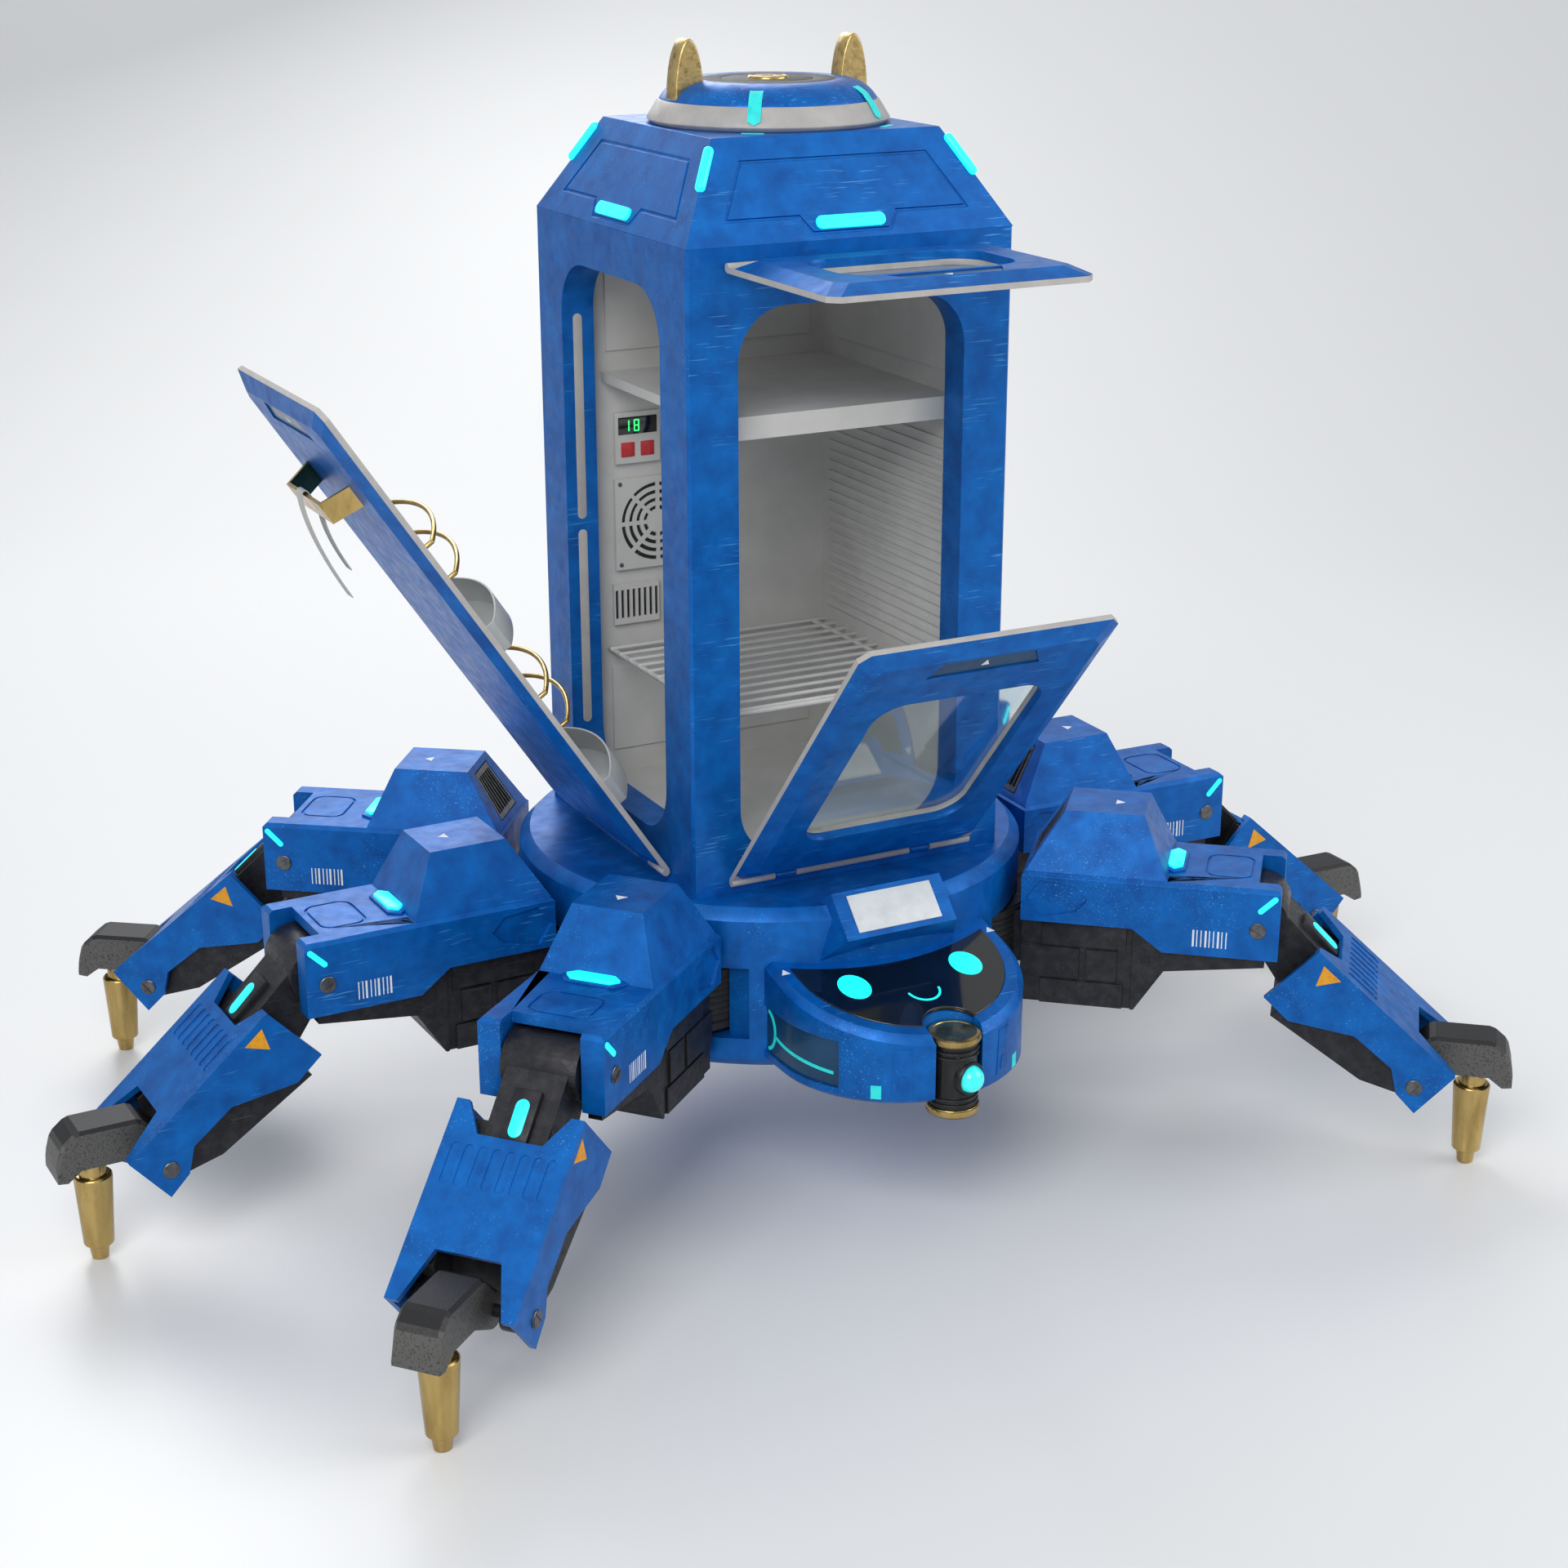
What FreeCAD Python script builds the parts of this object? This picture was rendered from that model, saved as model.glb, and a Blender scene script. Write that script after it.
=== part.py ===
import FreeCAD, Part
import math
import os

# Six-legged delivery robot: a cabinet with three doors on a round drum that walks on six jointed legs
# Millimetres, +Z up, front towards -Y, and the floor at Z = 0

Vector = FreeCAD.Vector
X, Y, Z = Vector(1, 0, 0), Vector(0, 1, 0), Vector(0, 0, 1)

# Clearances
RUNNING_CLEARANCE = 0.05        # radial, pin in bore
SEAT_GAP = 0.3                  # between seated curved faces
MOVING_CLEARANCE = 6.0          # between moving bodies

# Drum
DRUM_RADIUS = 380.0
DRUM_BOTTOM = 220.0
DRUM_TOP = 461.0
DRUM_TOP_CHAMFER = 16.0
DRUM_BOTTOM_CHAMFER = 14.0
UNDERSIDE_RIM = 34.0            # width of the raised rim underneath
UNDERSIDE_RECESS = 8.0
LOUVRE_SIDE = 188.0
LOUVRE_FIELD_HALF = 62.0        # the slots fill a square with cut corners
LOUVRE_FIELD_CUT = 20.0
LOUVRE_THICKNESS = 6.0
LOUVRE_SLOTS = 12
LOUVRE_HOLE_SPACING = 160.0
LOUVRE_HOLE_RADIUS = 3.0
LOUVRE_HOLE_DEPTH = 20.0
ARC_INNER = 235.0               # arc-shaped outlines on the underside
ARC_OUTER = 323.0
ARC_SWEEP = 80.0                # degrees
LATCH_SWEEP = 8.0
GROOVE_WIDTH = 4.0
GROOVE_DEPTH = 2.5

# Sign block over the drum's front edge: its sloped face is blank
SIGN_HALF_WIDTH = 88.0
SIGN_TOP_Y = 355.5
SIGN_TOP_Z = 478.0
SIGN_FACE_DROP = 53.0
SIGN_FACE_RUN = 51.0
SIGN_DEPTH = 64.0
SIGN_END_CUT = 24.0

# Head: a console with a round front and a sloped top
HEAD_RADIUS = 182.0
HEAD_CENTRE_Y = 385.0
HEAD_BACK_Y = 300.0
HEAD_BOTTOM = 234.0
HEAD_FRONT_TOP = 330.0          # height of the sloped top above the front of the head
HEAD_SLOPE = 0.246              # rise of the top for each millimetre towards the drum
HEAD_TOP_CHAMFER = 10.0
HEAD_BOTTOM_CHAMFER = 6.0
HEAD_RECESS = (250.0, 320.0)    # low and high Z of the recess on each side
HEAD_RECESS_DEPTH = 4.0
HEAD_RECESS_ANGLE = 54.6        # its front end, in degrees from straight ahead
TALL = 600.0                    # height of the tools that cut the head and the screen to form
SCREEN_MARGIN = 26.0
SCREEN_THICKNESS = 5.0
SCREEN_BACK_RADIUS = 394.0      # rear edge, round the drum's axis

# Sensor barrel at the head's nose
SENSOR_Y = 548.0
SENSOR_RADIUS = 33.0
SENSOR_CAP_RADIUS = 37.0
SENSOR_BOTTOM = 212.0
SENSOR_TOP = 328.0
SENSOR_CAP_HEIGHT = 10.0
LENS_RADIUS = 19.0
LENS_HEIGHT = 268.0
LENS_TURN = 14.0                # degrees from straight ahead
SENSOR_RECESS = 3.0
SENSOR_BAY_RADIUS = SENSOR_CAP_RADIUS + SENSOR_RECESS
SPIGOT_HALF = 16.0
SPIGOT_BOTTOM = 254.0
SPIGOT_TOP = 298.0

# Cabinet
CABINET_WIDTH = 500.0
WALL = 50.0
CABINET_FLOOR = 39.0            # floor thickness
EAVES = 1366.0
CABINET_CEILING = 28.0
CORNER_CHAMFER = 4.0
OPENING_CORNER = 75.0
FRONT_OPENING_HALF = 175.0
FRONT_OPENING_BOTTOM = 507.0
FRONT_OPENING_TOP = 1285.0
SIDE_OPENING_HALF = 165.0
SIDE_OPENING_BOTTOM = 525.0
SIDE_OPENING_TOP = 1302.0

# Inside the cabinet
LINER = 5.0
PANEL_RELIEF = 3.0
SHELF_SIDE_GAP = 22.0           # room on the side door's side for its racks
SHELF_TOP = 1128.0
SHELF_THICKNESS = 14.0
SHELF_LIP = 32.0
WIRE_SHELF_Z = 702.0
WIRE_RADIUS = 3.0
WIRE_COUNT = 12
FAN_X = -92.0
FAN_Z = 895.0
FAN_RADIUS = 60.0
FAN_RINGS = 4
FAN_SPOKES = 4
FAN_PANEL_THICKNESS = 8.0
GRILLE_DEPTH = 4.0
READOUT = (-160.0, -87.0, 988.0, 1065.0)    # low X, high X, low Z and high Z on the back wall
VENT = (-167.0, -92.0, 740.0, 803.0)
VENT_SLOTS = 8

# Roof and dome
ROOF_TOP = 1497.0
ROOF_TOP_WIDTH = 348.0
DOME_RING_RADIUS = 170.0
DOME_RING_TOP_RADIUS = 154.0
DOME_RING_HEIGHT = 32.0
DOME_TOP = 1558.0
DOME_DISC_RADIUS = 98.0
DOME_BUTTON_RADIUS = 28.0
FIN_TOP = 1612.0
FIN_X = 128.0
FIN_HALF_WIDTH = 22.0
FIN_HEIGHT = 82.0
FIN_THICKNESS = 32.0
FIN_BEVEL = 2.0
LAMP_THICKNESS = 4.0
BAR_LAMP_SHARE = 0.16           # shares are of the way from the eaves to the roof's top
HIP_LAMP_SHARE = 0.72
HIP_LAMP_RADIUS = 7.0
HIP_LAMP_LENGTH = 68.0

# Grooved panel on each roof face: X and share of the slope
ROOF_PANEL = [
    (-143.0, 0.78), (-187.0, 0.22), (-75.0, 0.22), (-60.0, 0.06),
    (60.0, 0.06), (75.0, 0.22), (187.0, 0.22), (143.0, 0.78),
]

# Doors: each panel has a light rim inside and a bevelled outer skin
HINGE_OFFSET = 8.0              # hinge axis out from the wall
HINGE_HEIGHT = 480.0            # hinge axis of the two doors that open downwards
SEAL_GAP = 1.0
RIM_THICKNESS = 8.0
SKIN_THICKNESS = 12.0
SKIN_BEVEL = 24.0
DOOR_CORNER = 14.0
KNUCKLE_RADIUS = 6.0
HINGE_PIN_RADIUS = 3.0
HINGE_LUG = 32.0
HINGE_SPREAD = 110.0
LUG_SIDE_GAP = 1.0
SIDE_DOOR_HALF = 178.0
SIDE_DOOR_LENGTH = 850.0
SIDE_DOOR_ANGLE = 33.8          # opened, from upright
LOWER_DOOR_HALF = 195.0
LOWER_DOOR_LENGTH = 566.0
LOWER_DOOR_ANGLE = 40.5
FLAP_HALF = 195.0
FLAP_LENGTH = 283.0
FLAP_ANGLE = 90.0
FLAP_HINGE_HEIGHT = 1341.0
GLASS_THICKNESS = 4.0
GLASS_LAP = 6.0
GRIP_HALF = 86.0                # grip recess near each door's outer end
GRIP_SLANT = 18.0
GRIP_WIDTH = 32.0
GRIP_DEPTH = 3.0

# Racks inside the side door
RACK_HALF = 118.0
RACK_DEPTH = 60.0
TRAY_WALL = 3.0
TRAY_LIP = 46.0
RAIL_RADIUS = 3.5
RAIL_GAP = 56.0                 # between the two rails of a rack

# Handle outside the side door
HANDLE_ALONG = 680.0
HANDLE_HALF = 88.0
HANDLE_STANDOFF = 44.0
HANDLE_WIDTH = 34.0
HANDLE_THICKNESS = 5.0

# Legs: distances R are measured outwards from the drum's axis
HIP_R = 305.0
HIP_BARREL_RADIUS = 90.0
HIP_PIVOT_RADIUS = 15.0
HIP_PIVOT_LENGTH = 12.0
POCKET_BOTTOM = 266.0
POCKET_TOP = 374.0
POCKET_WALL_HALF = 116.0
POCKET_WALL_R = 354.0

KNEE_R = 745.0
KNEE_Z = 378.0
KNEE_DRUM_RADIUS = 42.0
KNEE_DRUM_HALF = 54.0
KNEE_PIN_RADIUS = 9.0
PIN_HEAD_RADIUS = 11.0
PIN_HEAD_PROUD = 2.0
PIN_SLOT_WIDTH = 3.0

# Thigh: a painted cover with a hump, over a cast frame
THIGH_START_R = 400.0
THIGH_END_R = KNEE_R + 31.0
THIGH_HALF = 90.0
THIGH_TOP = 441.0
THIGH_LOWER_EDGE = 365.0        # under the hump
THIGH_NOSE_EDGE = 332.0         # under the ears
THIGH_STEP_R = 564.0
THIGH_NOSE_R = 608.0
THIGH_SHELL = 8.0
HUMP_TOP = 528.0
HUMP_BASE_END_R = 612.0
HUMP_TOP_START_R = 457.0
HUMP_TOP_END_R = 572.0
HUMP_BASE_HALF = 84.0
HUMP_TOP_HALF = 52.0
DECK_END_R = KNEE_R - 3.0
DECK_PANEL_START_R = KNEE_R - 82.0
DECK_PANEL_END_R = KNEE_R - 12.0
DECK_PANEL_HALF = 46.0
DECK_PANEL_CORNER = 20.0
EAR_THICKNESS = 33.0
FRAME_HALF = 76.0
FRAME_BOTTOM = 230.0
FRAME_STEP_R = 570.0
FRAME_NOSE_BOTTOM = 296.0
FRAME_NOSE_TIP = 315.0
FRAME_END_R = KNEE_R + 12.0
CAST_RELIEF = 4.0               # height of the raised blocks on the cast frame
CAST_FIELD = (-1.0, 165.0, -1.0, 133.0)
BELLY_FIELD = (15.0, 155.0, 55.0)
BELLY_RECESS = 3.0

# Raised blocks on the frame's sides: low and high R from the thigh's start, low and high Z from its bottom
CAST_BLOCKS = [
    (31.0, 156.0, 94.0, 130.0), (-2.0, 87.0, 42.0, 90.0),
    (97.0, 143.0, 42.0, 90.0), (30.0, 153.0, -2.0, 38.0),
]

# Six-sided recess on the cover's sides: R from the thigh's start and Z
SIDE_RECESS = [
    (6.0, 401.0), (27.0, 430.0), (80.0, 424.0), (98.0, 404.0), (80.0, 384.0), (27.0, 371.0),
]
SIDE_RECESS_DEPTH = 4.0

# Louvre pocket on the hump's slope that faces the body: share of the slope and half width
LOUVRE_POCKET = [(0.08, 44.0), (0.9, 33.0)]
LOUVRE_POCKET_DEPTH = 4.0

# Shin
ANKLE_R = KNEE_R + 238.0
ANKLE_Z = KNEE_Z - 225.0
ANKLE_PIN_RADIUS = 8.0
SHIN_HALF = 90.0
SHIN_SHELL = 9.0
SHIN_FORK_HALF = 46.0           # at the bottom of the fork
SHIN_FORK_TIP_HALF = 72.0       # at its mouth
SHIN_KNEE_FORK = 43.0
SHIN_ANKLE_FORK = 73.0
SHIN_FRAME_HALF = 74.0
OVAL_COUNT = 8
OVAL_PITCH = 19.5
OVAL_HALF_WIDTH = 6.5
OVAL_START = 58.0               # along the shin's top plate
OVAL_END = 115.0
OVAL_DEPTH = 1.5

# Foot
PEG_R = ANKLE_R + 86.0
PEG_RADIUS = 27.0
PEG_LOW_RADIUS = 21.0
PEG_STEP = 21.0                 # height of the step above the tip
PEG_TOP = 130.0
PEG_NECK_RADIUS = 14.5
PEG_TIP_RADIUS = 11.5
PEG_NUT_RADIUS = 19.0
PEG_NUT_TOP = 153.0
HOOK_HALF = 33.0
HOOK_REACH_R = PEG_R + 55.0
HOOK_TOP = 210.0
HOOK_CHAMFER = 5.0

# Leg name, side (-1 left, 1 right) and angle of the leg from straight ahead, in degrees
LEGS = [
    ("left_front", -1, 49.6),
    ("left_middle", -1, 88.6),
    ("left_rear", -1, 126.4),
    ("right_front", 1, 49.6),
    ("right_middle", 1, 88.6),
    ("right_rear", 1, 126.4),
]


def reach_forward(angle):
    """Give how far forwards the tip of a foot stands when its leg points at this angle."""
    turn = math.radians(angle)
    return HOOK_REACH_R * math.cos(turn) + HOOK_HALF * abs(math.sin(turn))


def reach_backward(angle):
    """Give how far backwards the tip of a foot stands when its leg points at this angle."""
    turn = math.radians(angle)
    return -HOOK_REACH_R * math.cos(turn) + HOOK_HALF * abs(math.sin(turn))


# The drum's axis stands back from the origin, so that the origin is the middle of the footprint
DRUM_Y = (max(reach_forward(leg[2]) for leg in LEGS) - max(reach_backward(leg[2]) for leg in LEGS)) / 2


def polygon(points):
    """Make a closed wire through the points."""
    return Part.makePolygon(points + [points[0]])


def side_prism(profile, half_width):
    """Extrude a profile of (R, Z) points to both sides of the leg's middle plane."""
    wire = polygon([Vector(r, -half_width, z) for r, z in profile])
    return Part.Face(wire).extrude(Vector(0, 2 * half_width, 0))


def plan_prism(outline, bottom, top):
    """Extrude an outline of (X, Y) points upwards from bottom to top."""
    wire = polygon([Vector(x, y, bottom) for x, y in outline])
    return Part.Face(wire).extrude(Vector(0, 0, top - bottom))


def box(low, high):
    """Make a box between its lowest and highest corners."""
    size = [high[i] - low[i] for i in range(3)]
    return Part.makeBox(size[0], size[1], size[2], Vector(*low))


def rod(radius, start, end):
    """Make a round bar between two points."""
    a, b = Vector(*start), Vector(*end)
    return Part.makeCylinder(radius, (b - a).Length, a, b - a)


def frustum(low, high):
    """Join two outlines with the same number of points by flat faces."""
    return Part.makeLoft([polygon(low), polygon(high)], True, True)


def rounded_rectangle(half_x, low_y, high_y, radius):
    """Make a flat face in the XY plane with round corners."""
    flat = Part.makeBox(2 * half_x, high_y - low_y, 1.0, Vector(-half_x, low_y, 0))
    uprights = [e for e in flat.Edges if abs(e.Vertexes[0].Z - e.Vertexes[1].Z) > 0.5]
    solid = flat.makeFillet(radius, uprights)
    return [f for f in solid.Faces if abs(f.CenterOfMass.z) < 0.01][0]


def cut_corner_outline(half_x, low_y, high_y, corner):
    """List the (X, Y) points of a rectangle whose corners are cut off."""
    return [
        (-half_x + corner, low_y), (half_x - corner, low_y),
        (half_x, low_y + corner), (half_x, high_y - corner),
        (half_x - corner, high_y), (-half_x + corner, high_y),
        (-half_x, high_y - corner), (-half_x, low_y + corner),
    ]


def level(outline, height):
    """Lift (X, Y) points to a height."""
    return [Vector(x, y, height) for x, y in outline]


def fuse(shapes):
    """Join shapes into one, with no seams left on faces that line up."""
    return shapes[0].multiFuse(shapes[1:]).removeSplitter()


def ring_sector(inner, outer, middle, sweep, low, high):
    """Make part of a flat ring round the Z axis, its middle at an angle from the X axis."""
    solid = Part.makeCylinder(outer, high - low, Vector(0, 0, low), Z, sweep)
    solid = solid.cut(Part.makeCylinder(inner, high - low, Vector(0, 0, low)))
    solid.rotate(Vector(0, 0, 0), Z, middle - sweep / 2)
    return solid


def groove(face, width):
    """Make the cutter of a groove that follows the inside of a flat outline at Z = 0."""
    ring = face.cut(face.makeOffset2D(-width, 2))
    ring.translate(Vector(0, 0, 1))
    return ring.extrude(Vector(0, 0, -1 - GROOVE_DEPTH))


def turned_to(shape, side, angle):
    """Turn a leg's piece from the X axis to its place round the drum."""
    placed = shape.copy()
    placed.rotate(Vector(0, 0, 0), Z, 270 + side * angle)
    return placed


def drum():
    """Round body with a pocket for each hip, the sign block and the louvred plate underneath."""
    rim = DRUM_RADIUS - UNDERSIDE_RIM
    section = polygon([
        Vector(0, 0, DRUM_BOTTOM + UNDERSIDE_RECESS),
        Vector(rim - UNDERSIDE_RECESS, 0, DRUM_BOTTOM + UNDERSIDE_RECESS),
        Vector(rim, 0, DRUM_BOTTOM),
        Vector(DRUM_RADIUS - DRUM_BOTTOM_CHAMFER, 0, DRUM_BOTTOM),
        Vector(DRUM_RADIUS, 0, DRUM_BOTTOM + DRUM_BOTTOM_CHAMFER),
        Vector(DRUM_RADIUS, 0, DRUM_TOP - DRUM_TOP_CHAMFER),
        Vector(DRUM_RADIUS - DRUM_TOP_CHAMFER, 0, DRUM_TOP),
        Vector(0, 0, DRUM_TOP),
    ])
    body = Part.Face(section).revolve(Vector(0, 0, 0), Z, 360)
    body = fuse([body, sign_block(), louvre_plate()])
    pockets = []
    for name, side, angle in LEGS:
        pockets.append(turned_to(hip_pocket(), side, angle))
    body = body.cut(Part.makeCompound(pockets + underside_grooves()))
    for x in (-1, 1):
        for y in (-1, 1):
            corner = (x * LOUVRE_HOLE_SPACING / 2, y * LOUVRE_HOLE_SPACING / 2)
            start = DRUM_BOTTOM + UNDERSIDE_RECESS - LOUVRE_THICKNESS
            hole = rod(LOUVRE_HOLE_RADIUS, corner + (start,), corner + (start + LOUVRE_HOLE_DEPTH,))
            body = body.cut(hole)
    return body


def sign_block():
    """Block with a sloped blank face that stands over the drum's front edge."""
    top = Vector(0, -SIGN_TOP_Y, SIGN_TOP_Z)
    slope = Vector(0, -SIGN_FACE_RUN, -SIGN_FACE_DROP)
    inwards = Vector(0, SIGN_FACE_DROP, -SIGN_FACE_RUN).normalize() * SIGN_DEPTH
    face, root = [], []
    for share, side in ((0, -1), (0, 1), (1, 1), (1, -1)):
        face.append(top + slope * share + X * side * SIGN_HALF_WIDTH)
        root.append(top + slope * share + X * side * (SIGN_HALF_WIDTH + SIGN_END_CUT) + inwards)
    return frustum(root, face)


def louvre_plate():
    """Square plate in the middle of the underside, with a field of slots."""
    half = LOUVRE_SIDE / 2
    top = DRUM_BOTTOM + UNDERSIDE_RECESS
    plate = box((-half, -half, top - LOUVRE_THICKNESS), (half, half, top + 1))
    pitch = 2 * LOUVRE_FIELD_HALF / LOUVRE_SLOTS
    slots = []
    for i in range(LOUVRE_SLOTS):
        middle = -LOUVRE_FIELD_HALF + (i + 0.5) * pitch
        reach = min(LOUVRE_FIELD_HALF, 2 * LOUVRE_FIELD_HALF - LOUVRE_FIELD_CUT - abs(middle))
        slots.append(box((-reach, middle - pitch / 4, top - LOUVRE_THICKNESS - 1),
                         (reach, middle + pitch / 4, top - 1)))
    return plate.cut(Part.makeCompound(slots))


def underside_grooves():
    """List the cutters of four arc-shaped outlines on the underside, each with a small latch at one end."""
    floor = DRUM_BOTTOM + UNDERSIDE_RECESS
    low, high = floor - 1, floor + GROOVE_DEPTH
    inset = 2 * math.degrees(GROOVE_WIDTH / ARC_INNER)
    latch_inner, latch_outer = ARC_INNER + 6 * GROOVE_WIDTH, ARC_OUTER - 6 * GROOVE_WIDTH
    cutters = []
    for middle in (0, 90, 180, 270):
        outline = ring_sector(ARC_INNER, ARC_OUTER, middle, ARC_SWEEP, low, high)
        island = ring_sector(ARC_INNER + GROOVE_WIDTH, ARC_OUTER - GROOVE_WIDTH, middle, ARC_SWEEP - inset,
                             low - 1, high + 1)
        cutters.append(outline.cut(island))
        latch_middle = middle + ARC_SWEEP / 2 - LATCH_SWEEP
        cutters.append(ring_sector(latch_inner, latch_outer, latch_middle, LATCH_SWEEP, low, high))
    return cutters


def hip_pocket():
    """Space that the drum leaves for one hip's barrel, with the bores of its pivot."""
    barrel = rod(HIP_BARREL_RADIUS + MOVING_CLEARANCE, (HIP_R, 0, POCKET_BOTTOM), (HIP_R, 0, POCKET_TOP))
    window = box((POCKET_WALL_R, -POCKET_WALL_HALF, POCKET_BOTTOM),
                 (DRUM_RADIUS + 20, POCKET_WALL_HALF, POCKET_TOP))
    reach = HIP_PIVOT_LENGTH + MOVING_CLEARANCE
    bores = rod(HIP_PIVOT_RADIUS + RUNNING_CLEARANCE, (HIP_R, 0, POCKET_BOTTOM - reach),
                (HIP_R, 0, POCKET_TOP + reach))
    return fuse([barrel, window, bores])


def head_outline(inset, back_y):
    """Make the flat outline of the head, D-shaped with its round side to the front."""
    radius = HEAD_RADIUS - inset
    left = Vector(-radius, -HEAD_CENTRE_Y, 0)
    right = Vector(radius, -HEAD_CENTRE_Y, 0)
    nose = Vector(0, -HEAD_CENTRE_Y - radius, 0)
    back_left = Vector(-radius, -back_y, 0)
    back_right = Vector(radius, -back_y, 0)
    edges = [Part.Arc(left, nose, right).toShape()]
    if HEAD_CENTRE_Y > back_y:
        edges.append(Part.makeLine(right, back_right))
        edges.append(Part.makeLine(back_right, back_left))
        edges.append(Part.makeLine(back_left, left))
    else:
        edges.append(Part.makeLine(right, left))
    return Part.Face(Part.Wire(edges))


def head_top(y, lift=0.0):
    """Give the height of the head's sloped top at a distance Y in front of the drum's axis."""
    nose = HEAD_CENTRE_Y + HEAD_RADIUS
    return HEAD_FRONT_TOP + HEAD_SLOPE * (nose - y) + lift


def above_slope(lift):
    """Make the space above the head's sloped top, moved up by lift."""
    near, far, side, high = HEAD_BACK_Y - 40, HEAD_CENTRE_Y + HEAD_RADIUS + 60, HEAD_RADIUS + 20, TALL
    wire = polygon([
        Vector(-side, -near, head_top(near, lift)), Vector(-side, -far, head_top(far, lift)),
        Vector(-side, -far, high), Vector(-side, -near, high),
    ])
    return Part.Face(wire).extrude(Vector(2 * side, 0, 0))


def head_shell():
    """Console in front of the drum, with the recess for its screen and the bay for its sensor."""
    solid = head_outline(0, HEAD_BACK_Y).extrude(Vector(0, 0, TALL - HEAD_BOTTOM))
    solid.translate(Vector(0, 0, HEAD_BOTTOM))
    solid = solid.cut(above_slope(0.0))
    bottom = [e for e in solid.Edges if not isinstance(e.Curve, Part.Line) and e.CenterOfMass.z < HEAD_BOTTOM + 1]
    solid = solid.makeChamfer(HEAD_BOTTOM_CHAMFER, bottom)
    middle_z = (HEAD_BOTTOM + HEAD_FRONT_TOP) / 2
    top = [e for e in solid.Edges if not isinstance(e.Curve, Part.Line) and e.CenterOfMass.z > middle_z]
    solid = solid.makeChamfer(HEAD_TOP_CHAMFER, top)
    for cutter in (screen_blank(0.0, above=40.0), Part.makeCylinder(DRUM_RADIUS, TALL),
                   sensor_bay(SENSOR_BAY_RADIUS), side_recess(0.0, -1), side_recess(180.0, 1)):
        solid = solid.cut(cutter)
    return solid


def side_recess(turn, bend):
    """Cutter of the shallow recess on one side of the head, from its front end back to the drum."""
    deep, out = HEAD_RADIUS - HEAD_RECESS_DEPTH, HEAD_RADIUS + 1
    low, high = HEAD_RECESS
    sweep = 90 - HEAD_RECESS_ANGLE
    curved = ring_sector(deep, out, turn + bend * sweep / 2, sweep, low, high)
    straight = box((deep, 0, low), (out, HEAD_CENTRE_Y - HEAD_BACK_Y, high))
    if turn > 0:
        straight.translate(Vector(-deep - out, 0, 0))
    recess = fuse([curved, straight])
    recess.translate(Vector(0, -HEAD_CENTRE_Y, 0))
    return recess


def sensor_bay(radius):
    """Make an upright cylinder of this radius on the sensor's axis, taller than the head."""
    return rod(radius, (0, -SENSOR_Y, HEAD_BOTTOM - 1), (0, -SENSOR_Y, TALL))


def screen_blank(shrink, above):
    """Make the screen's form on the slope, drawn in by shrink at its edge."""
    solid = head_outline(SCREEN_MARGIN + shrink, HEAD_BACK_Y).extrude(Vector(0, 0, TALL))
    solid = solid.cut(Part.makeCylinder(SCREEN_BACK_RADIUS + shrink, TALL))
    return solid.cut(above_slope(above)).common(above_slope(-SCREEN_THICKNESS))


def head_screen():
    """Dark glass screen that fills the recess on the head's sloped top."""
    return screen_blank(SEAT_GAP, above=1.5).cut(sensor_bay(SENSOR_BAY_RADIUS + SENSOR_RECESS))


def sensor():
    """Upright sensor barrel with two brass caps and a round lens, held by a spigot at its back."""
    parts = [
        rod(SENSOR_RADIUS, (0, -SENSOR_Y, SENSOR_BOTTOM), (0, -SENSOR_Y, SENSOR_TOP)),
        rod(SENSOR_CAP_RADIUS, (0, -SENSOR_Y, SENSOR_BOTTOM), (0, -SENSOR_Y, SENSOR_BOTTOM + SENSOR_CAP_HEIGHT)),
        rod(SENSOR_CAP_RADIUS, (0, -SENSOR_Y, SENSOR_TOP - SENSOR_CAP_HEIGHT), (0, -SENSOR_Y, SENSOR_TOP)),
    ]
    turn = math.radians(LENS_TURN)
    centre = Vector(SENSOR_RADIUS * math.sin(turn), -SENSOR_Y - SENSOR_RADIUS * math.cos(turn), LENS_HEIGHT)
    parts.append(Part.makeSphere(LENS_RADIUS, centre))
    spigot = box((-SPIGOT_HALF, -SENSOR_Y, SPIGOT_BOTTOM), (SPIGOT_HALF, 0, SPIGOT_TOP))
    parts.append(spigot.common(sensor_bay(SENSOR_BAY_RADIUS - SEAT_GAP)))
    return fuse(parts)


def opening(half, low, high, axis):
    """Make the cutter of a doorway with round corners through one wall."""
    face = rounded_rectangle(half, low, high, OPENING_CORNER)
    solid = face.extrude(Vector(0, 0, WALL + 4))
    solid.rotate(Vector(0, 0, 0), X, 90)
    solid.translate(Vector(0, -CABINET_WIDTH / 2 + WALL + 2, 0))
    if axis == "side":
        solid.rotate(Vector(0, 0, 0), Z, -90)
    return solid


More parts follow.
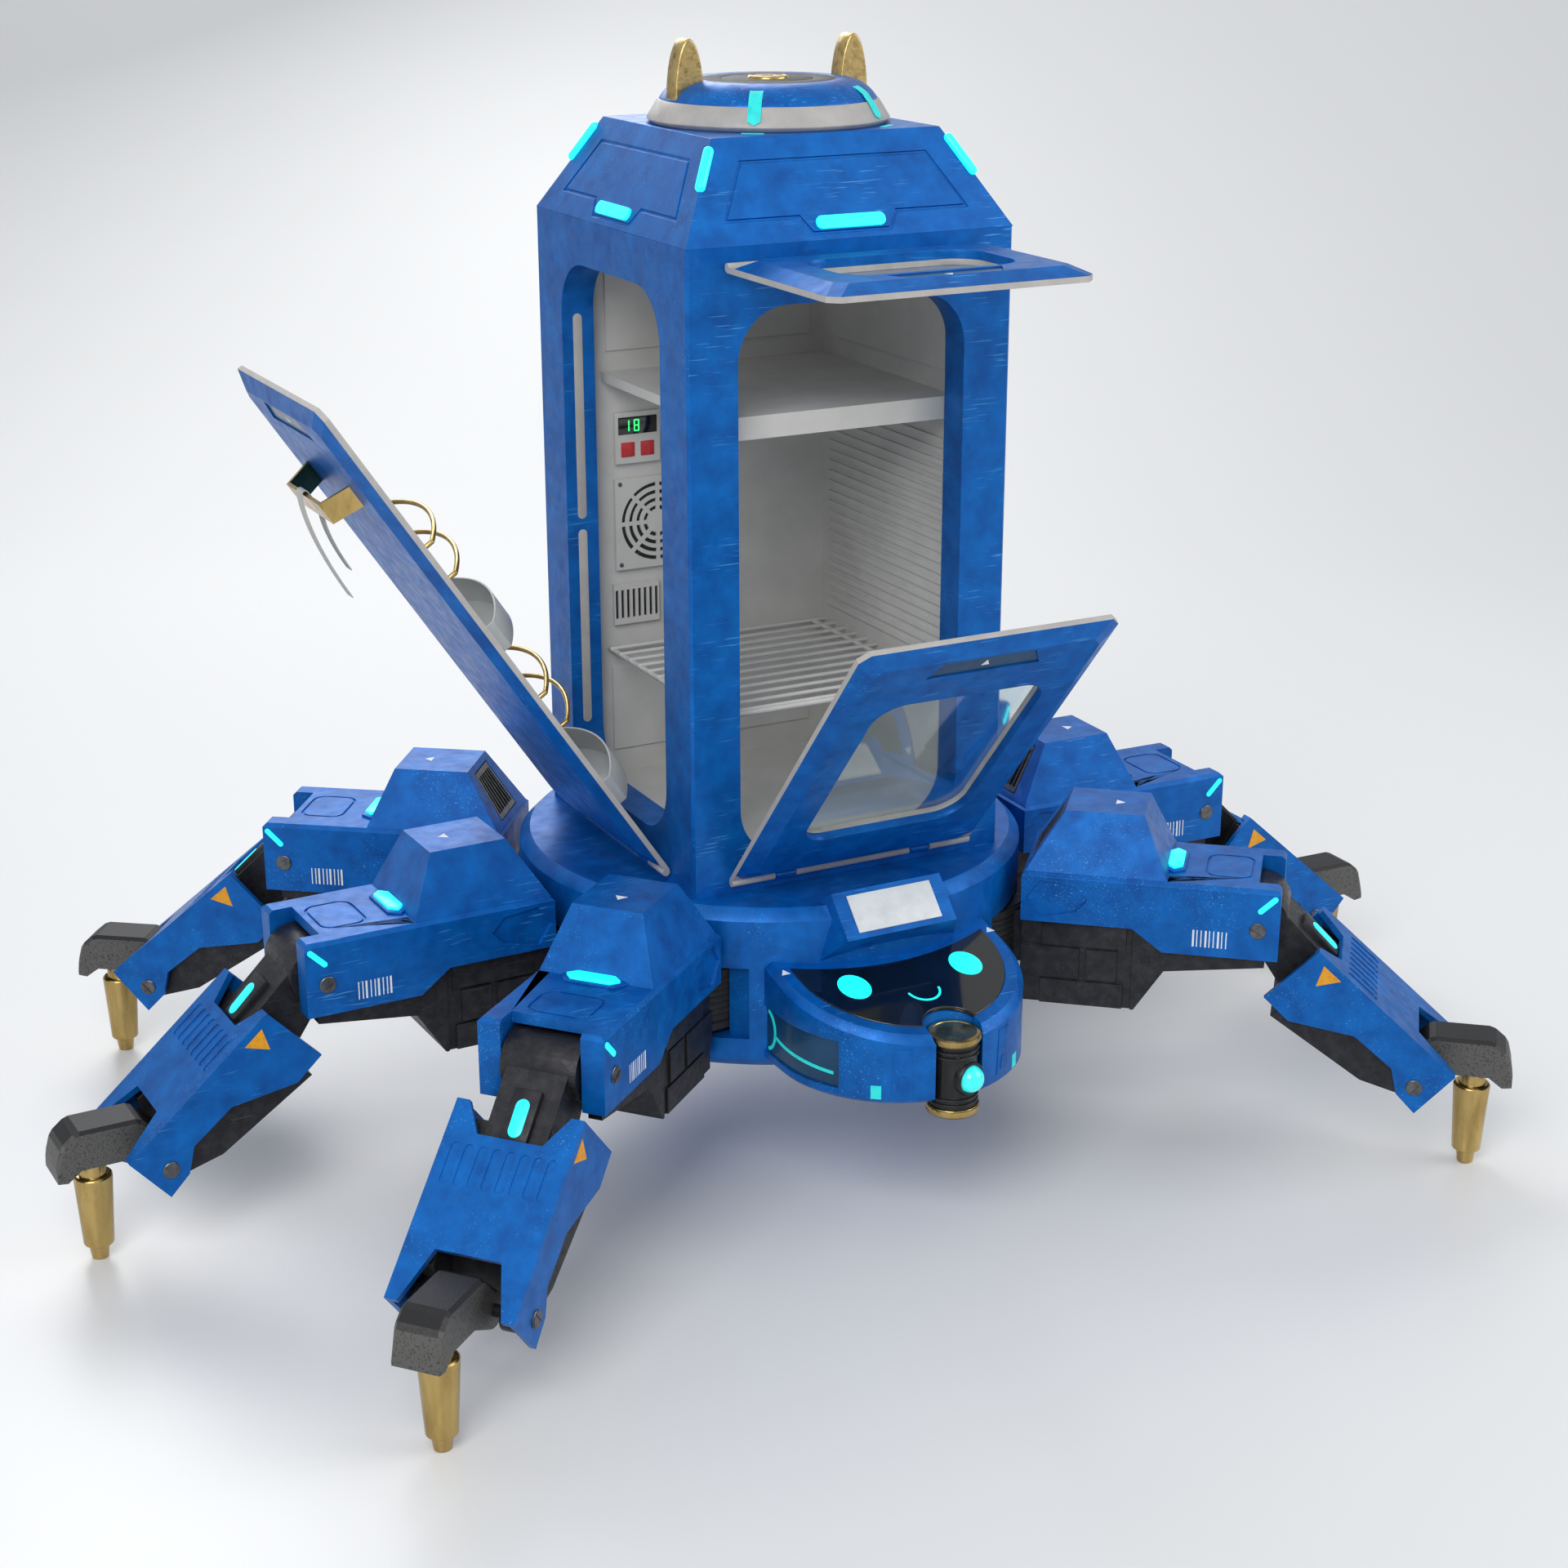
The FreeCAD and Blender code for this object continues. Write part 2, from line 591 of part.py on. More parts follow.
def cabinet_shell():
    """Upright cabinet with a doorway at the front and one at the side, and the lugs of its hinges."""
    half = CABINET_WIDTH / 2
    outer = plan_prism(cut_corner_outline(half, -half, half, CORNER_CHAMFER), DRUM_TOP, EAVES)
    inner_half = half - WALL
    inner = box((-inner_half, -inner_half, DRUM_TOP + CABINET_FLOOR),
                (inner_half, inner_half, EAVES - CABINET_CEILING))
    shell = outer.cut(inner)
    shell = shell.cut(opening(FRONT_OPENING_HALF, FRONT_OPENING_BOTTOM, FRONT_OPENING_TOP, "front"))
    shell = shell.cut(opening(SIDE_OPENING_HALF, SIDE_OPENING_BOTTOM, SIDE_OPENING_TOP, "side"))
    lugs = []
    for door in DOORS.values():
        for place in (-HINGE_SPREAD, HINGE_SPREAD):
            lugs.append(door.closed(hinge_lug(place)))
    return fuse([shell] + lugs)


def hinge_lug(place):
    """Hinge lug on the wall, with its pin standing out at both ends, in the door's own frame."""
    low, high = place - HINGE_LUG / 2, place + HINGE_LUG / 2
    lug = fuse([
        rod(KNUCKLE_RADIUS, (low, 0, 0), (high, 0, 0)),
        box((low, -KNUCKLE_RADIUS, -HINGE_OFFSET - 1), (high, KNUCKLE_RADIUS, 0)),
    ])
    reach = HINGE_LUG / 2
    return fuse([lug, rod(HINGE_PIN_RADIUS, (low - reach, 0, 0), (high + reach, 0, 0))])


class Door:
    """A door panel, drawn flat: X across, Y away from its hinge, Z out of the cabinet."""

    def __init__(self, half, length, angle, base, across, along, outward):
        self.half = half
        self.length = length
        self.angle = angle
        self.base = base
        self.across = across
        self.along = along
        self.outward = outward

    def closed(self, shape):
        """Put a flat piece where it is with the door closed."""
        placed = shape.copy()
        turn = FreeCAD.Rotation(self.across, self.along, self.outward, "XYZ")
        placed.Placement = FreeCAD.Placement(self.base, turn).multiply(placed.Placement)
        return placed

    def opened(self, shape):
        """Put a flat piece where it is with the door open."""
        placed = self.closed(shape)
        placed.rotate(self.base, self.across, self.angle)
        return placed


DOORS = {
    "side": Door(SIDE_DOOR_HALF, SIDE_DOOR_LENGTH, SIDE_DOOR_ANGLE,
                 Vector(-CABINET_WIDTH / 2 - HINGE_OFFSET, 0, HINGE_HEIGHT),
                 Vector(0, -1, 0), Vector(0, 0, 1), Vector(-1, 0, 0)),
    "lower": Door(LOWER_DOOR_HALF, LOWER_DOOR_LENGTH, LOWER_DOOR_ANGLE,
                  Vector(0, -CABINET_WIDTH / 2 - HINGE_OFFSET, HINGE_HEIGHT),
                  Vector(1, 0, 0), Vector(0, 0, 1), Vector(0, -1, 0)),
    "flap": Door(FLAP_HALF, FLAP_LENGTH, FLAP_ANGLE,
                 Vector(0, -CABINET_WIDTH / 2 - HINGE_OFFSET, FLAP_HINGE_HEIGHT),
                 Vector(-1, 0, 0), Vector(0, 0, -1), Vector(0, -1, 0)),
}

# Inner and outer faces of the doors, measured out from the hinge axis
DOOR_INSIDE = SEAL_GAP - HINGE_OFFSET
RIM_OUTSIDE = DOOR_INSIDE + RIM_THICKNESS
DOOR_OUTSIDE = RIM_OUTSIDE + SKIN_THICKNESS

# Windows of the two front doors: half width, start and end along the door
LOWER_WINDOW = (130.0, 108.0, 450.0)
FLAP_WINDOW = (130.0, 70.0, 215.0)
WINDOW_CORNER = 42.0


def hinge_notch(place):
    """Space that a door leaves round one hinge lug."""
    low, high = place - HINGE_LUG / 2 - LUG_SIDE_GAP, place + HINGE_LUG / 2 + LUG_SIDE_GAP
    room = KNUCKLE_RADIUS + 4.0
    return box((low, -room, DOOR_INSIDE - 1), (high, room, DOOR_OUTSIDE + 1))


def door_rim(door, window=None):
    """Light inner frame of a door, with the hinge barrel along its edge."""
    outline = cut_corner_outline(door.half, 0, door.length, DOOR_CORNER)
    outline[0], outline[1] = (-door.half, 0), (door.half, 0)
    del outline[7], outline[2]
    rim = Part.Face(polygon(level(outline, DOOR_INSIDE))).extrude(Vector(0, 0, RIM_THICKNESS))
    barrel = rod(KNUCKLE_RADIUS, (-door.half, 0, 0), (door.half, 0, 0))
    rim = fuse([rim, barrel])
    if window:
        rim = rim.cut(window_cutter(window))
    cutters = [rod(HINGE_PIN_RADIUS + RUNNING_CLEARANCE, (-HINGE_SPREAD - HINGE_LUG - 2, 0, 0),
                   (-HINGE_SPREAD + HINGE_LUG + 2, 0, 0)),
               rod(HINGE_PIN_RADIUS + RUNNING_CLEARANCE, (HINGE_SPREAD - HINGE_LUG - 2, 0, 0),
                   (HINGE_SPREAD + HINGE_LUG + 2, 0, 0)),
               hinge_notch(-HINGE_SPREAD), hinge_notch(HINGE_SPREAD)]
    return rim.cut(Part.makeCompound(cutters))


def window_cutter(window):
    """Make the cutter of a door's window, with round corners."""
    half, low, high = window
    solid = rounded_rectangle(half, low, high, WINDOW_CORNER).extrude(Vector(0, 0, 80))
    solid.translate(Vector(0, 0, -40))
    return solid


def door_skin(door, window=None):
    """Bevelled outer skin of a door."""
    start = KNUCKLE_RADIUS + 2.0
    low = cut_corner_outline(door.half, start, door.length, DOOR_CORNER)
    high = cut_corner_outline(door.half - SKIN_BEVEL, start + SKIN_BEVEL, door.length - SKIN_BEVEL, DOOR_CORNER)
    skin = frustum(level(low, RIM_OUTSIDE), level(high, DOOR_OUTSIDE))
    if window:
        skin = skin.cut(window_cutter(window))
    far = door.length - SKIN_BEVEL - GRIP_DEPTH
    near = far - GRIP_WIDTH
    grip = [(-GRIP_HALF, near), (GRIP_HALF, near), (GRIP_HALF - GRIP_SLANT, far), (-GRIP_HALF + GRIP_SLANT, far)]
    recess = plan_prism(grip, DOOR_OUTSIDE - GRIP_DEPTH, DOOR_OUTSIDE + 1)
    return skin.cut(Part.makeCompound([hinge_notch(-HINGE_SPREAD), hinge_notch(HINGE_SPREAD), recess]))


def door_glass(window):
    """Clear pane that lies against the inside of a door's rim."""
    half, low, high = window
    lap = GLASS_LAP
    face = rounded_rectangle(half + lap, low - lap, high + lap, WINDOW_CORNER + lap)
    pane = face.extrude(Vector(0, 0, GLASS_THICKNESS))
    pane.translate(Vector(0, 0, DOOR_INSIDE - GLASS_THICKNESS))
    return pane


def rack_curve(inset, height):
    """Make the D-shaped path of a tray or rail: two short legs and a bow, at a height along the door."""
    half, depth = RACK_HALF - inset, RACK_DEPTH - inset
    root = DOOR_INSIDE
    knee = root - depth * 0.35
    points = [Vector(-half, height, root), Vector(-half, height, knee),
              Vector(0, height, root - depth), Vector(half, height, knee), Vector(half, height, root)]
    return points


def rack_face(inset, height):
    """Make the flat D-shaped face of a tray."""
    p = rack_curve(inset, height)
    edges = [Part.makeLine(p[0], p[1]), Part.Arc(p[1], p[2], p[3]).toShape(),
             Part.makeLine(p[3], p[4]), Part.makeLine(p[4], p[0])]
    return Part.Face(Part.Wire(edges))


def tray(height):
    """Open tray of the side door: a D-shaped floor with a raised lip."""
    outer = rack_face(0, height).extrude(Vector(0, TRAY_LIP, 0))
    inner = rack_face(TRAY_WALL, height + TRAY_WALL).extrude(Vector(0, TRAY_LIP, 0))
    return outer.cut(inner)


def rail(height):
    """Bent round rail above a tray, with both ends in the door."""
    p = rack_curve(RAIL_RADIUS, height)
    path = Part.Wire([Part.makeLine(p[0], p[1]), Part.Arc(p[1], p[2], p[3]).toShape(),
                      Part.makeLine(p[3], p[4])])
    ring = Part.Wire([Part.Circle(p[0], Vector(0, 0, 1), RAIL_RADIUS).toShape()])
    return path.makePipeShell([ring], True, False, 2)


# Distance of each tray along the side door, and of the first of its two rails
RACKS = [(100.0, 255.0), (400.0, 535.0)]


def side_door_trays():
    """Both trays of the side door."""
    return Part.makeCompound([tray(floor) for floor, first_rail in RACKS])


def side_door_rails():
    """Brass rails inside the side door and the strap handle outside it."""
    rails = []
    for floor, first_rail in RACKS:
        rails.append(rail(first_rail))
        rails.append(rail(first_rail + RAIL_GAP))
    return Part.makeCompound(rails + [handle()])


def handle():
    """Flat strap handle bent from one piece, on two feet."""
    low, high = DOOR_OUTSIDE, DOOR_OUTSIDE + HANDLE_STANDOFF
    foot = HANDLE_HALF - HANDLE_STANDOFF * 0.45
    outer = [(-HANDLE_HALF, low), (-foot, high), (foot, high), (HANDLE_HALF, low)]
    t = HANDLE_THICKNESS
    inner = [(HANDLE_HALF - t * 1.2, low), (foot - t * 0.6, high - t), (-foot + t * 0.6, high - t),
             (-HANDLE_HALF + t * 1.2, low)]
    wire = polygon([Vector(x, HANDLE_ALONG, z) for x, z in outer + inner])
    return Part.Face(wire).extrude(Vector(0, HANDLE_WIDTH, 0))


def cabinet_liner():
    """Light lining on the cabinet's back, right side, floor and ceiling, with stamped panels."""
    half = CABINET_WIDTH / 2 - WALL
    low, high = DRUM_TOP + CABINET_FLOOR, EAVES - CABINET_CEILING
    outer = box((-half, -half, low), (half, half, high))
    inner = box((-half - 1, -half - 1, low + LINER), (half - LINER, half - LINER, high - LINER))
    liner = outer.cut(inner)
    ribs = []
    pitch = 16.0
    count = int((SHELF_TOP - SHELF_LIP - 30 - WIRE_SHELF_Z - 20) / pitch)
    for i in range(count):
        z = WIRE_SHELF_Z + 30 + i * pitch
        ribs.append(box((half - LINER - PANEL_RELIEF, -half + 30, z), (half - LINER + 1, half - 30, z + pitch / 2)))
    for z0, z1 in ((low + 40, WIRE_SHELF_Z - 30), (SHELF_TOP + 30, high - 40)):
        ribs.append(box((half - LINER - PANEL_RELIEF, -half + 30, z0), (half - LINER + 1, half - 30, z1)))
        ribs.append(box((-half + 30, half - LINER - PANEL_RELIEF, z0), (half - 30, half - LINER + 1, z1)))
    return fuse([liner] + ribs)


def shelves():
    """Solid upper shelf with a folded front lip, and a wire shelf below it."""
    half = CABINET_WIDTH / 2 - WALL
    left, right = -half + SHELF_SIDE_GAP, half - LINER
    front, back = -half + 2, half - LINER
    upper = fuse([
        box((left, front, SHELF_TOP - SHELF_THICKNESS), (right, back, SHELF_TOP)),
        box((left, front, SHELF_TOP - SHELF_LIP), (right, front + 4, SHELF_TOP)),
    ])
    wires = [
        rod(WIRE_RADIUS * 1.4, (left + 6, front + 10, WIRE_SHELF_Z), (left + 6, back, WIRE_SHELF_Z)),
        rod(WIRE_RADIUS * 1.4, (right - 20, front + 10, WIRE_SHELF_Z), (right - 20, back, WIRE_SHELF_Z)),
        rod(WIRE_RADIUS * 1.4, (left, front + 12, WIRE_SHELF_Z), (right, front + 12, WIRE_SHELF_Z)),
    ]
    pitch = (back - front - 30) / (WIRE_COUNT - 1)
    for i in range(WIRE_COUNT):
        y = front + 18 + i * pitch
        wires.append(rod(WIRE_RADIUS, (left, y, WIRE_SHELF_Z + WIRE_RADIUS), (right, y, WIRE_SHELF_Z + WIRE_RADIUS)))
    return Part.makeCompound([upper, fuse(wires)])


def fan_panel():
    """Back wall fittings: fan grille, readout panel and vent."""
    back = CABINET_WIDTH / 2 - WALL - LINER
    front = back - FAN_PANEL_THICKNESS
    edge = FAN_RADIUS + 10
    plate = box((FAN_X - edge, front, FAN_Z - edge), (FAN_X + edge, back, FAN_Z + edge))
    spokes = []
    width = FAN_RADIUS / (FAN_RINGS + 1)
    for i in range(FAN_SPOKES):
        bar = box((-width / 4, -GRILLE_DEPTH, -FAN_RADIUS), (width / 4, GRILLE_DEPTH, FAN_RADIUS))
        bar.rotate(Vector(0, 0, 0), Y, i * 180.0 / FAN_SPOKES)
        bar.translate(Vector(FAN_X, front, FAN_Z))
        spokes.append(bar)
    rings = []
    for i in range(FAN_RINGS):
        outer = FAN_RADIUS - i * width
        ring = rod(outer, (FAN_X, front - 1, FAN_Z), (FAN_X, front + GRILLE_DEPTH, FAN_Z))
        ring = ring.cut(rod(outer - width / 2, (FAN_X, front - 2, FAN_Z), (FAN_X, back, FAN_Z)))
        rings.append(ring.cut(Part.makeCompound(spokes)))
    plate = plate.cut(Part.makeCompound(rings))
    low_x, high_x, low_z, high_z = READOUT
    readout = box((low_x, front, low_z), (high_x, back, high_z))
    low_x, high_x, low_z, high_z = VENT
    vent = box((low_x, front, low_z), (high_x, back, high_z))
    pitch = (high_x - low_x) / VENT_SLOTS
    slots = []
    for i in range(VENT_SLOTS):
        x = low_x + (i + 0.25) * pitch
        slots.append(box((x, front - 1, low_z + pitch), (x + pitch / 2, front + GRILLE_DEPTH, high_z - pitch)))
    return Part.makeCompound([plate, readout, vent.cut(Part.makeCompound(slots))])


def square(half, height):
    """List the corners of a square at a height."""
    return [Vector(-half, -half, height), Vector(half, -half, height),
            Vector(half, half, height), Vector(-half, half, height)]


# One roof face: how far it runs inwards and rises, its slope in degrees and its length up the slope
ROOF_RUN = (CABINET_WIDTH - ROOF_TOP_WIDTH) / 2
ROOF_RISE = ROOF_TOP - EAVES
ROOF_SLOPE = math.degrees(math.atan2(ROOF_RISE, ROOF_RUN))
ROOF_LENGTH = math.hypot(ROOF_RUN, ROOF_RISE)


def on_roof(shape, share, turn):
    """Put a flat piece on one roof face, its origin at a share of the slope."""
    placed = shape.copy()
    placed.rotate(Vector(0, 0, 0), X, ROOF_SLOPE)
    placed.translate(Vector(0, -CABINET_WIDTH / 2 + ROOF_RUN * share, EAVES + ROOF_RISE * share))
    placed.rotate(Vector(0, 0, 0), Z, 90 * turn)
    return placed


def roof_block():
    """Make the roof's plain form."""
    return frustum(square(CABINET_WIDTH / 2, EAVES), square(ROOF_TOP_WIDTH / 2, ROOF_TOP))


def cabinet_roof():
    """Sloped roof with a grooved panel on each face."""
    outline = [Vector(x, share * ROOF_LENGTH, 0) for x, share in ROOF_PANEL]
    cutter = groove(Part.Face(polygon(outline)), GROOVE_WIDTH)
    return roof_block().cut(Part.makeCompound([on_roof(cutter, 0, turn) for turn in range(4)]))


def roof_lamps():
    """Bar lamps low on the roof's faces and capsule lamps on its hips."""
    bar = rounded_rectangle(52.0, -9.0, 9.0, 8.0).extrude(Vector(0, 0, LAMP_THICKNESS))
    end = HIP_LAMP_LENGTH / 2 - HIP_LAMP_RADIUS
    capsule = fuse([
        rod(HIP_LAMP_RADIUS, (0, 0, -end), (0, 0, end)),
        Part.makeSphere(HIP_LAMP_RADIUS, Vector(0, 0, -end)), Part.makeSphere(HIP_LAMP_RADIUS, Vector(0, 0, end)),
    ])
    corner = -CABINET_WIDTH / 2 + ROOF_RUN * HIP_LAMP_SHARE
    capsule.Placement = FreeCAD.Placement(Vector(corner, corner, EAVES + ROOF_RISE * HIP_LAMP_SHARE),
                                          FreeCAD.Rotation(Z, Vector(ROOF_RUN, ROOF_RUN, ROOF_RISE)))
    capsule = capsule.cut(roof_block())
    lamps = []
    for turn in range(4):
        lamps.append(on_roof(bar, BAR_LAMP_SHARE, turn))
        hip = capsule.copy()
        hip.rotate(Vector(0, 0, 0), Z, 90 * turn)
        lamps.append(hip)
    return Part.makeCompound(lamps)


def dome_ring():
    """Light conical ring under the dome."""
    foot = DOME_RING_HEIGHT * 0.2
    section = polygon([
        Vector(0, 0, ROOF_TOP), Vector(DOME_RING_RADIUS - foot, 0, ROOF_TOP),
        Vector(DOME_RING_RADIUS, 0, ROOF_TOP + foot),
        Vector(DOME_RING_TOP_RADIUS, 0, ROOF_TOP + DOME_RING_HEIGHT), Vector(0, 0, ROOF_TOP + DOME_RING_HEIGHT),
    ])
    return Part.Face(section).revolve(Vector(0, 0, 0), Z, 360)


def dome():
    """Low dome with a flat disc and a button on top."""
    base = ROOF_TOP + DOME_RING_HEIGHT
    crown = DOME_TOP - 3
    edge = Vector(DOME_RING_TOP_RADIUS - 2, 0, base)
    shoulder = Vector(DOME_RING_TOP_RADIUS - 14, 0, base + (crown - base) * 0.55)
    rim = Vector(DOME_DISC_RADIUS, 0, crown)
    edges = [
        Part.makeLine(Vector(0, 0, base), edge),
        Part.Arc(edge, shoulder, rim).toShape(),
        Part.makeLine(rim, Vector(DOME_BUTTON_RADIUS, 0, crown)),
        Part.makeLine(Vector(DOME_BUTTON_RADIUS, 0, crown), Vector(DOME_BUTTON_RADIUS, 0, DOME_TOP)),
        Part.makeLine(Vector(DOME_BUTTON_RADIUS, 0, DOME_TOP), Vector(0, 0, DOME_TOP)),
        Part.makeLine(Vector(0, 0, DOME_TOP), Vector(0, 0, base)),
    ]
    solid = Part.Face(Part.Wire(edges)).revolve(Vector(0, 0, 0), Z, 360)
    slots = []
    for side in (-1, 1):
        slots.append(fin_blank(side))
    return solid.cut(Part.makeCompound(slots))


def fin_blank(side):
    """Make one fin, half an ellipse with bevelled edges, down into the dome."""
    centre = Vector(side * FIN_X, -FIN_THICKNESS / 2, FIN_TOP - FIN_HEIGHT)
    ellipse = Part.Ellipse(centre + Z * FIN_HEIGHT, centre + X * FIN_HALF_WIDTH, centre)
    solid = Part.Face(Part.Wire([ellipse.toShape()])).extrude(Vector(0, FIN_THICKNESS, 0))
    solid = solid.makeChamfer(FIN_BEVEL, [e for e in solid.Edges if not isinstance(e.Curve, Part.Line)])
    return solid.cut(box((-TALL, -TALL, centre.z - TALL), (TALL, TALL, centre.z + 1)))


def fins():
    """Pair of fins that stand in the dome."""
    return Part.makeCompound([fin_blank(-1), fin_blank(1)])


def thigh_profile(inset=0.0):
    """List the (R, Z) points of the thigh's side, drawn in by inset from the top and ends."""
    return [
        (THIGH_START_R + inset, THIGH_LOWER_EDGE), (THIGH_STEP_R, THIGH_LOWER_EDGE),
        (THIGH_NOSE_R, THIGH_NOSE_EDGE), (THIGH_END_R - inset, THIGH_NOSE_EDGE),
        (THIGH_END_R - inset, THIGH_TOP - inset), (THIGH_START_R + inset, THIGH_TOP - inset),
    ]


def rectangle(start, end, half, height):
    """List the corners of a rectangle on the leg's middle line, at a height."""
    return [Vector(start, -half, height), Vector(end, -half, height),
            Vector(end, half, height), Vector(start, half, height)]


def knee_bore(radius):
    """Make the cutter of the knee's bore."""
    return rod(radius, (KNEE_R, -2 * THIGH_HALF, KNEE_Z), (KNEE_R, 2 * THIGH_HALF, KNEE_Z))


def thigh_armour():
    """Painted cover of a thigh: a deck with a hump, open below, and two ears at the knee."""
    block = side_prism(thigh_profile(), THIGH_HALF)
    top_edges = [e for e in block.Edges if all(abs(v.Z - THIGH_TOP) < 0.01 for v in e.Vertexes)]
    block = block.makeChamfer(THIGH_SHELL * 0.7, top_edges)
    hump = frustum(rectangle(THIGH_START_R + 3, HUMP_BASE_END_R, HUMP_BASE_HALF, THIGH_TOP - 1),
                   rectangle(HUMP_TOP_START_R, HUMP_TOP_END_R, HUMP_TOP_HALF, HUMP_TOP))
    cover = fuse([block, hump])
    cavity = side_prism([
        (THIGH_START_R + THIGH_SHELL, THIGH_NOSE_EDGE - 40), (DECK_END_R + 100, THIGH_NOSE_EDGE - 40),
        (DECK_END_R + 100, THIGH_TOP - THIGH_SHELL * 2), (THIGH_START_R + THIGH_SHELL, THIGH_TOP - THIGH_SHELL * 2),
    ], THIGH_HALF - EAR_THICKNESS)
    cover = cover.cut(cavity)
    side_room = side_prism([
        (THIGH_START_R + THIGH_SHELL, THIGH_NOSE_EDGE - 40),
        (DECK_END_R - 2 * KNEE_DRUM_RADIUS, THIGH_NOSE_EDGE - 40),
        (DECK_END_R - 2 * KNEE_DRUM_RADIUS, THIGH_TOP - THIGH_SHELL * 2),
        (THIGH_START_R + THIGH_SHELL, THIGH_TOP - THIGH_SHELL * 2),
    ], FRAME_HALF + SEAT_GAP)
    cover = cover.cut(side_room)
    mouth = box((DECK_END_R, -THIGH_HALF + EAR_THICKNESS, THIGH_NOSE_EDGE - 1),
                (THIGH_END_R + 1, THIGH_HALF - EAR_THICKNESS, THIGH_TOP + 1))
    cover = cover.cut(mouth)
    cheeks = side_prism(frame_profile(SEAT_GAP), FRAME_HALF + SEAT_GAP)
    cover = cover.cut(cheeks)
    cover = cover.cut(Part.makeCompound([deck_groove(), louvre_pocket()] + thigh_side_recesses()))
    return cover.cut(knee_bore(PIN_HEAD_RADIUS + RUNNING_CLEARANCE))


def deck_groove():
    """Cutter of the panel outline on the deck, round at its end near the hump."""
    panel = rounded_rectangle(DECK_PANEL_HALF, 0, DECK_PANEL_END_R - DECK_PANEL_START_R, DECK_PANEL_CORNER)
    cutter = groove(panel, GROOVE_WIDTH)
    cutter.rotate(Vector(0, 0, 0), Z, -90)
    cutter.translate(Vector(DECK_PANEL_START_R, 0, THIGH_TOP))
    return cutter


def louvre_pocket():
    """Cutter of the louvre pocket on the hump's slope that faces the body."""
    foot, head = Vector(THIGH_START_R + 3, 0, THIGH_TOP), Vector(HUMP_TOP_START_R, 0, HUMP_TOP)
    slope = head - foot
    outward = Vector(-slope.z, 0, slope.x).normalize()
    (low, low_half), (high, high_half) = LOUVRE_POCKET
    corners = [foot + slope * low - Y * low_half, foot + slope * low + Y * low_half,
               foot + slope * high + Y * high_half, foot + slope * high - Y * high_half]
    return frustum([p - outward * LOUVRE_POCKET_DEPTH for p in corners], [p + outward for p in corners])


def thigh_side_recesses():
    """List the cutters of the six-sided recess on each side of the cover."""
    wire = polygon([Vector(THIGH_START_R + r, THIGH_HALF - SIDE_RECESS_DEPTH, z) for r, z in SIDE_RECESS])
    right = Part.Face(wire).extrude(Vector(0, SIDE_RECESS_DEPTH + 1, 0))
    return [right, right.mirror(Vector(0, 0, 0), Y)]


def frame_profile(grow=0.0):
    """List the (R, Z) points of the thigh frame's side, made larger by grow."""
    return [
        (THIGH_START_R - grow, FRAME_BOTTOM - grow), (FRAME_STEP_R, FRAME_BOTTOM - grow),
        (FRAME_STEP_R + 42 + grow, FRAME_NOSE_BOTTOM - grow), (FRAME_END_R + grow, FRAME_NOSE_TIP - grow),
        (FRAME_END_R + grow, THIGH_NOSE_EDGE + 10 + grow), (THIGH_NOSE_R + grow, THIGH_NOSE_EDGE + 10 + grow),
        (THIGH_STEP_R + grow, THIGH_LOWER_EDGE + 8 + grow), (THIGH_START_R - grow, THIGH_LOWER_EDGE + 8 + grow),
    ]


def thigh_frame():
    """Cast frame of a thigh: the hip barrel, the beam below the cover and the cheeks with the knee pin."""
    beam = side_prism(frame_profile(), FRAME_HALF)
    throat_start = KNEE_R - KNEE_DRUM_RADIUS - MOVING_CLEARANCE * 3
    throat = box((throat_start, -KNEE_DRUM_HALF - 2, FRAME_BOTTOM - 1),
                 (FRAME_END_R + 20, KNEE_DRUM_HALF + 2, THIGH_TOP))
    beam = beam.cut(Part.makeCompound([throat] + cast_relief()))
    barrel = rod(HIP_BARREL_RADIUS, (HIP_R, 0, POCKET_BOTTOM + MOVING_CLEARANCE),
                 (HIP_R, 0, POCKET_TOP - MOVING_CLEARANCE))
    pivot = rod(HIP_PIVOT_RADIUS, (HIP_R, 0, POCKET_BOTTOM - HIP_PIVOT_LENGTH),
                (HIP_R, 0, POCKET_TOP + HIP_PIVOT_LENGTH))
    neck = box((HIP_R, -HIP_BARREL_RADIUS / 2, POCKET_BOTTOM + MOVING_CLEARANCE + 8),
               (THIGH_START_R + 4, HIP_BARREL_RADIUS / 2, POCKET_TOP - MOVING_CLEARANCE - 8))
    return Part.makeCompound([fuse([beam, barrel, pivot, neck]), knee_pin()])


def knee_pin():
    """Knee pin with a slotted head at both ends, a little proud of the cover."""
    end = THIGH_HALF + PIN_HEAD_PROUD
    parts = [rod(KNEE_PIN_RADIUS, (KNEE_R, -THIGH_HALF, KNEE_Z), (KNEE_R, THIGH_HALF, KNEE_Z))]
    slots = []
    for s in (-1, 1):
        parts.append(rod(PIN_HEAD_RADIUS, (KNEE_R, s * (THIGH_HALF - EAR_THICKNESS), KNEE_Z),
                         (KNEE_R, s * end, KNEE_Z)))
        slots.append(box((KNEE_R - 2 * PIN_HEAD_RADIUS, s * end - 1, KNEE_Z - PIN_SLOT_WIDTH / 2),
                         (KNEE_R + 2 * PIN_HEAD_RADIUS, s * end + 1, KNEE_Z + PIN_SLOT_WIDTH / 2)))
    return fuse(parts).cut(Part.makeCompound(slots))


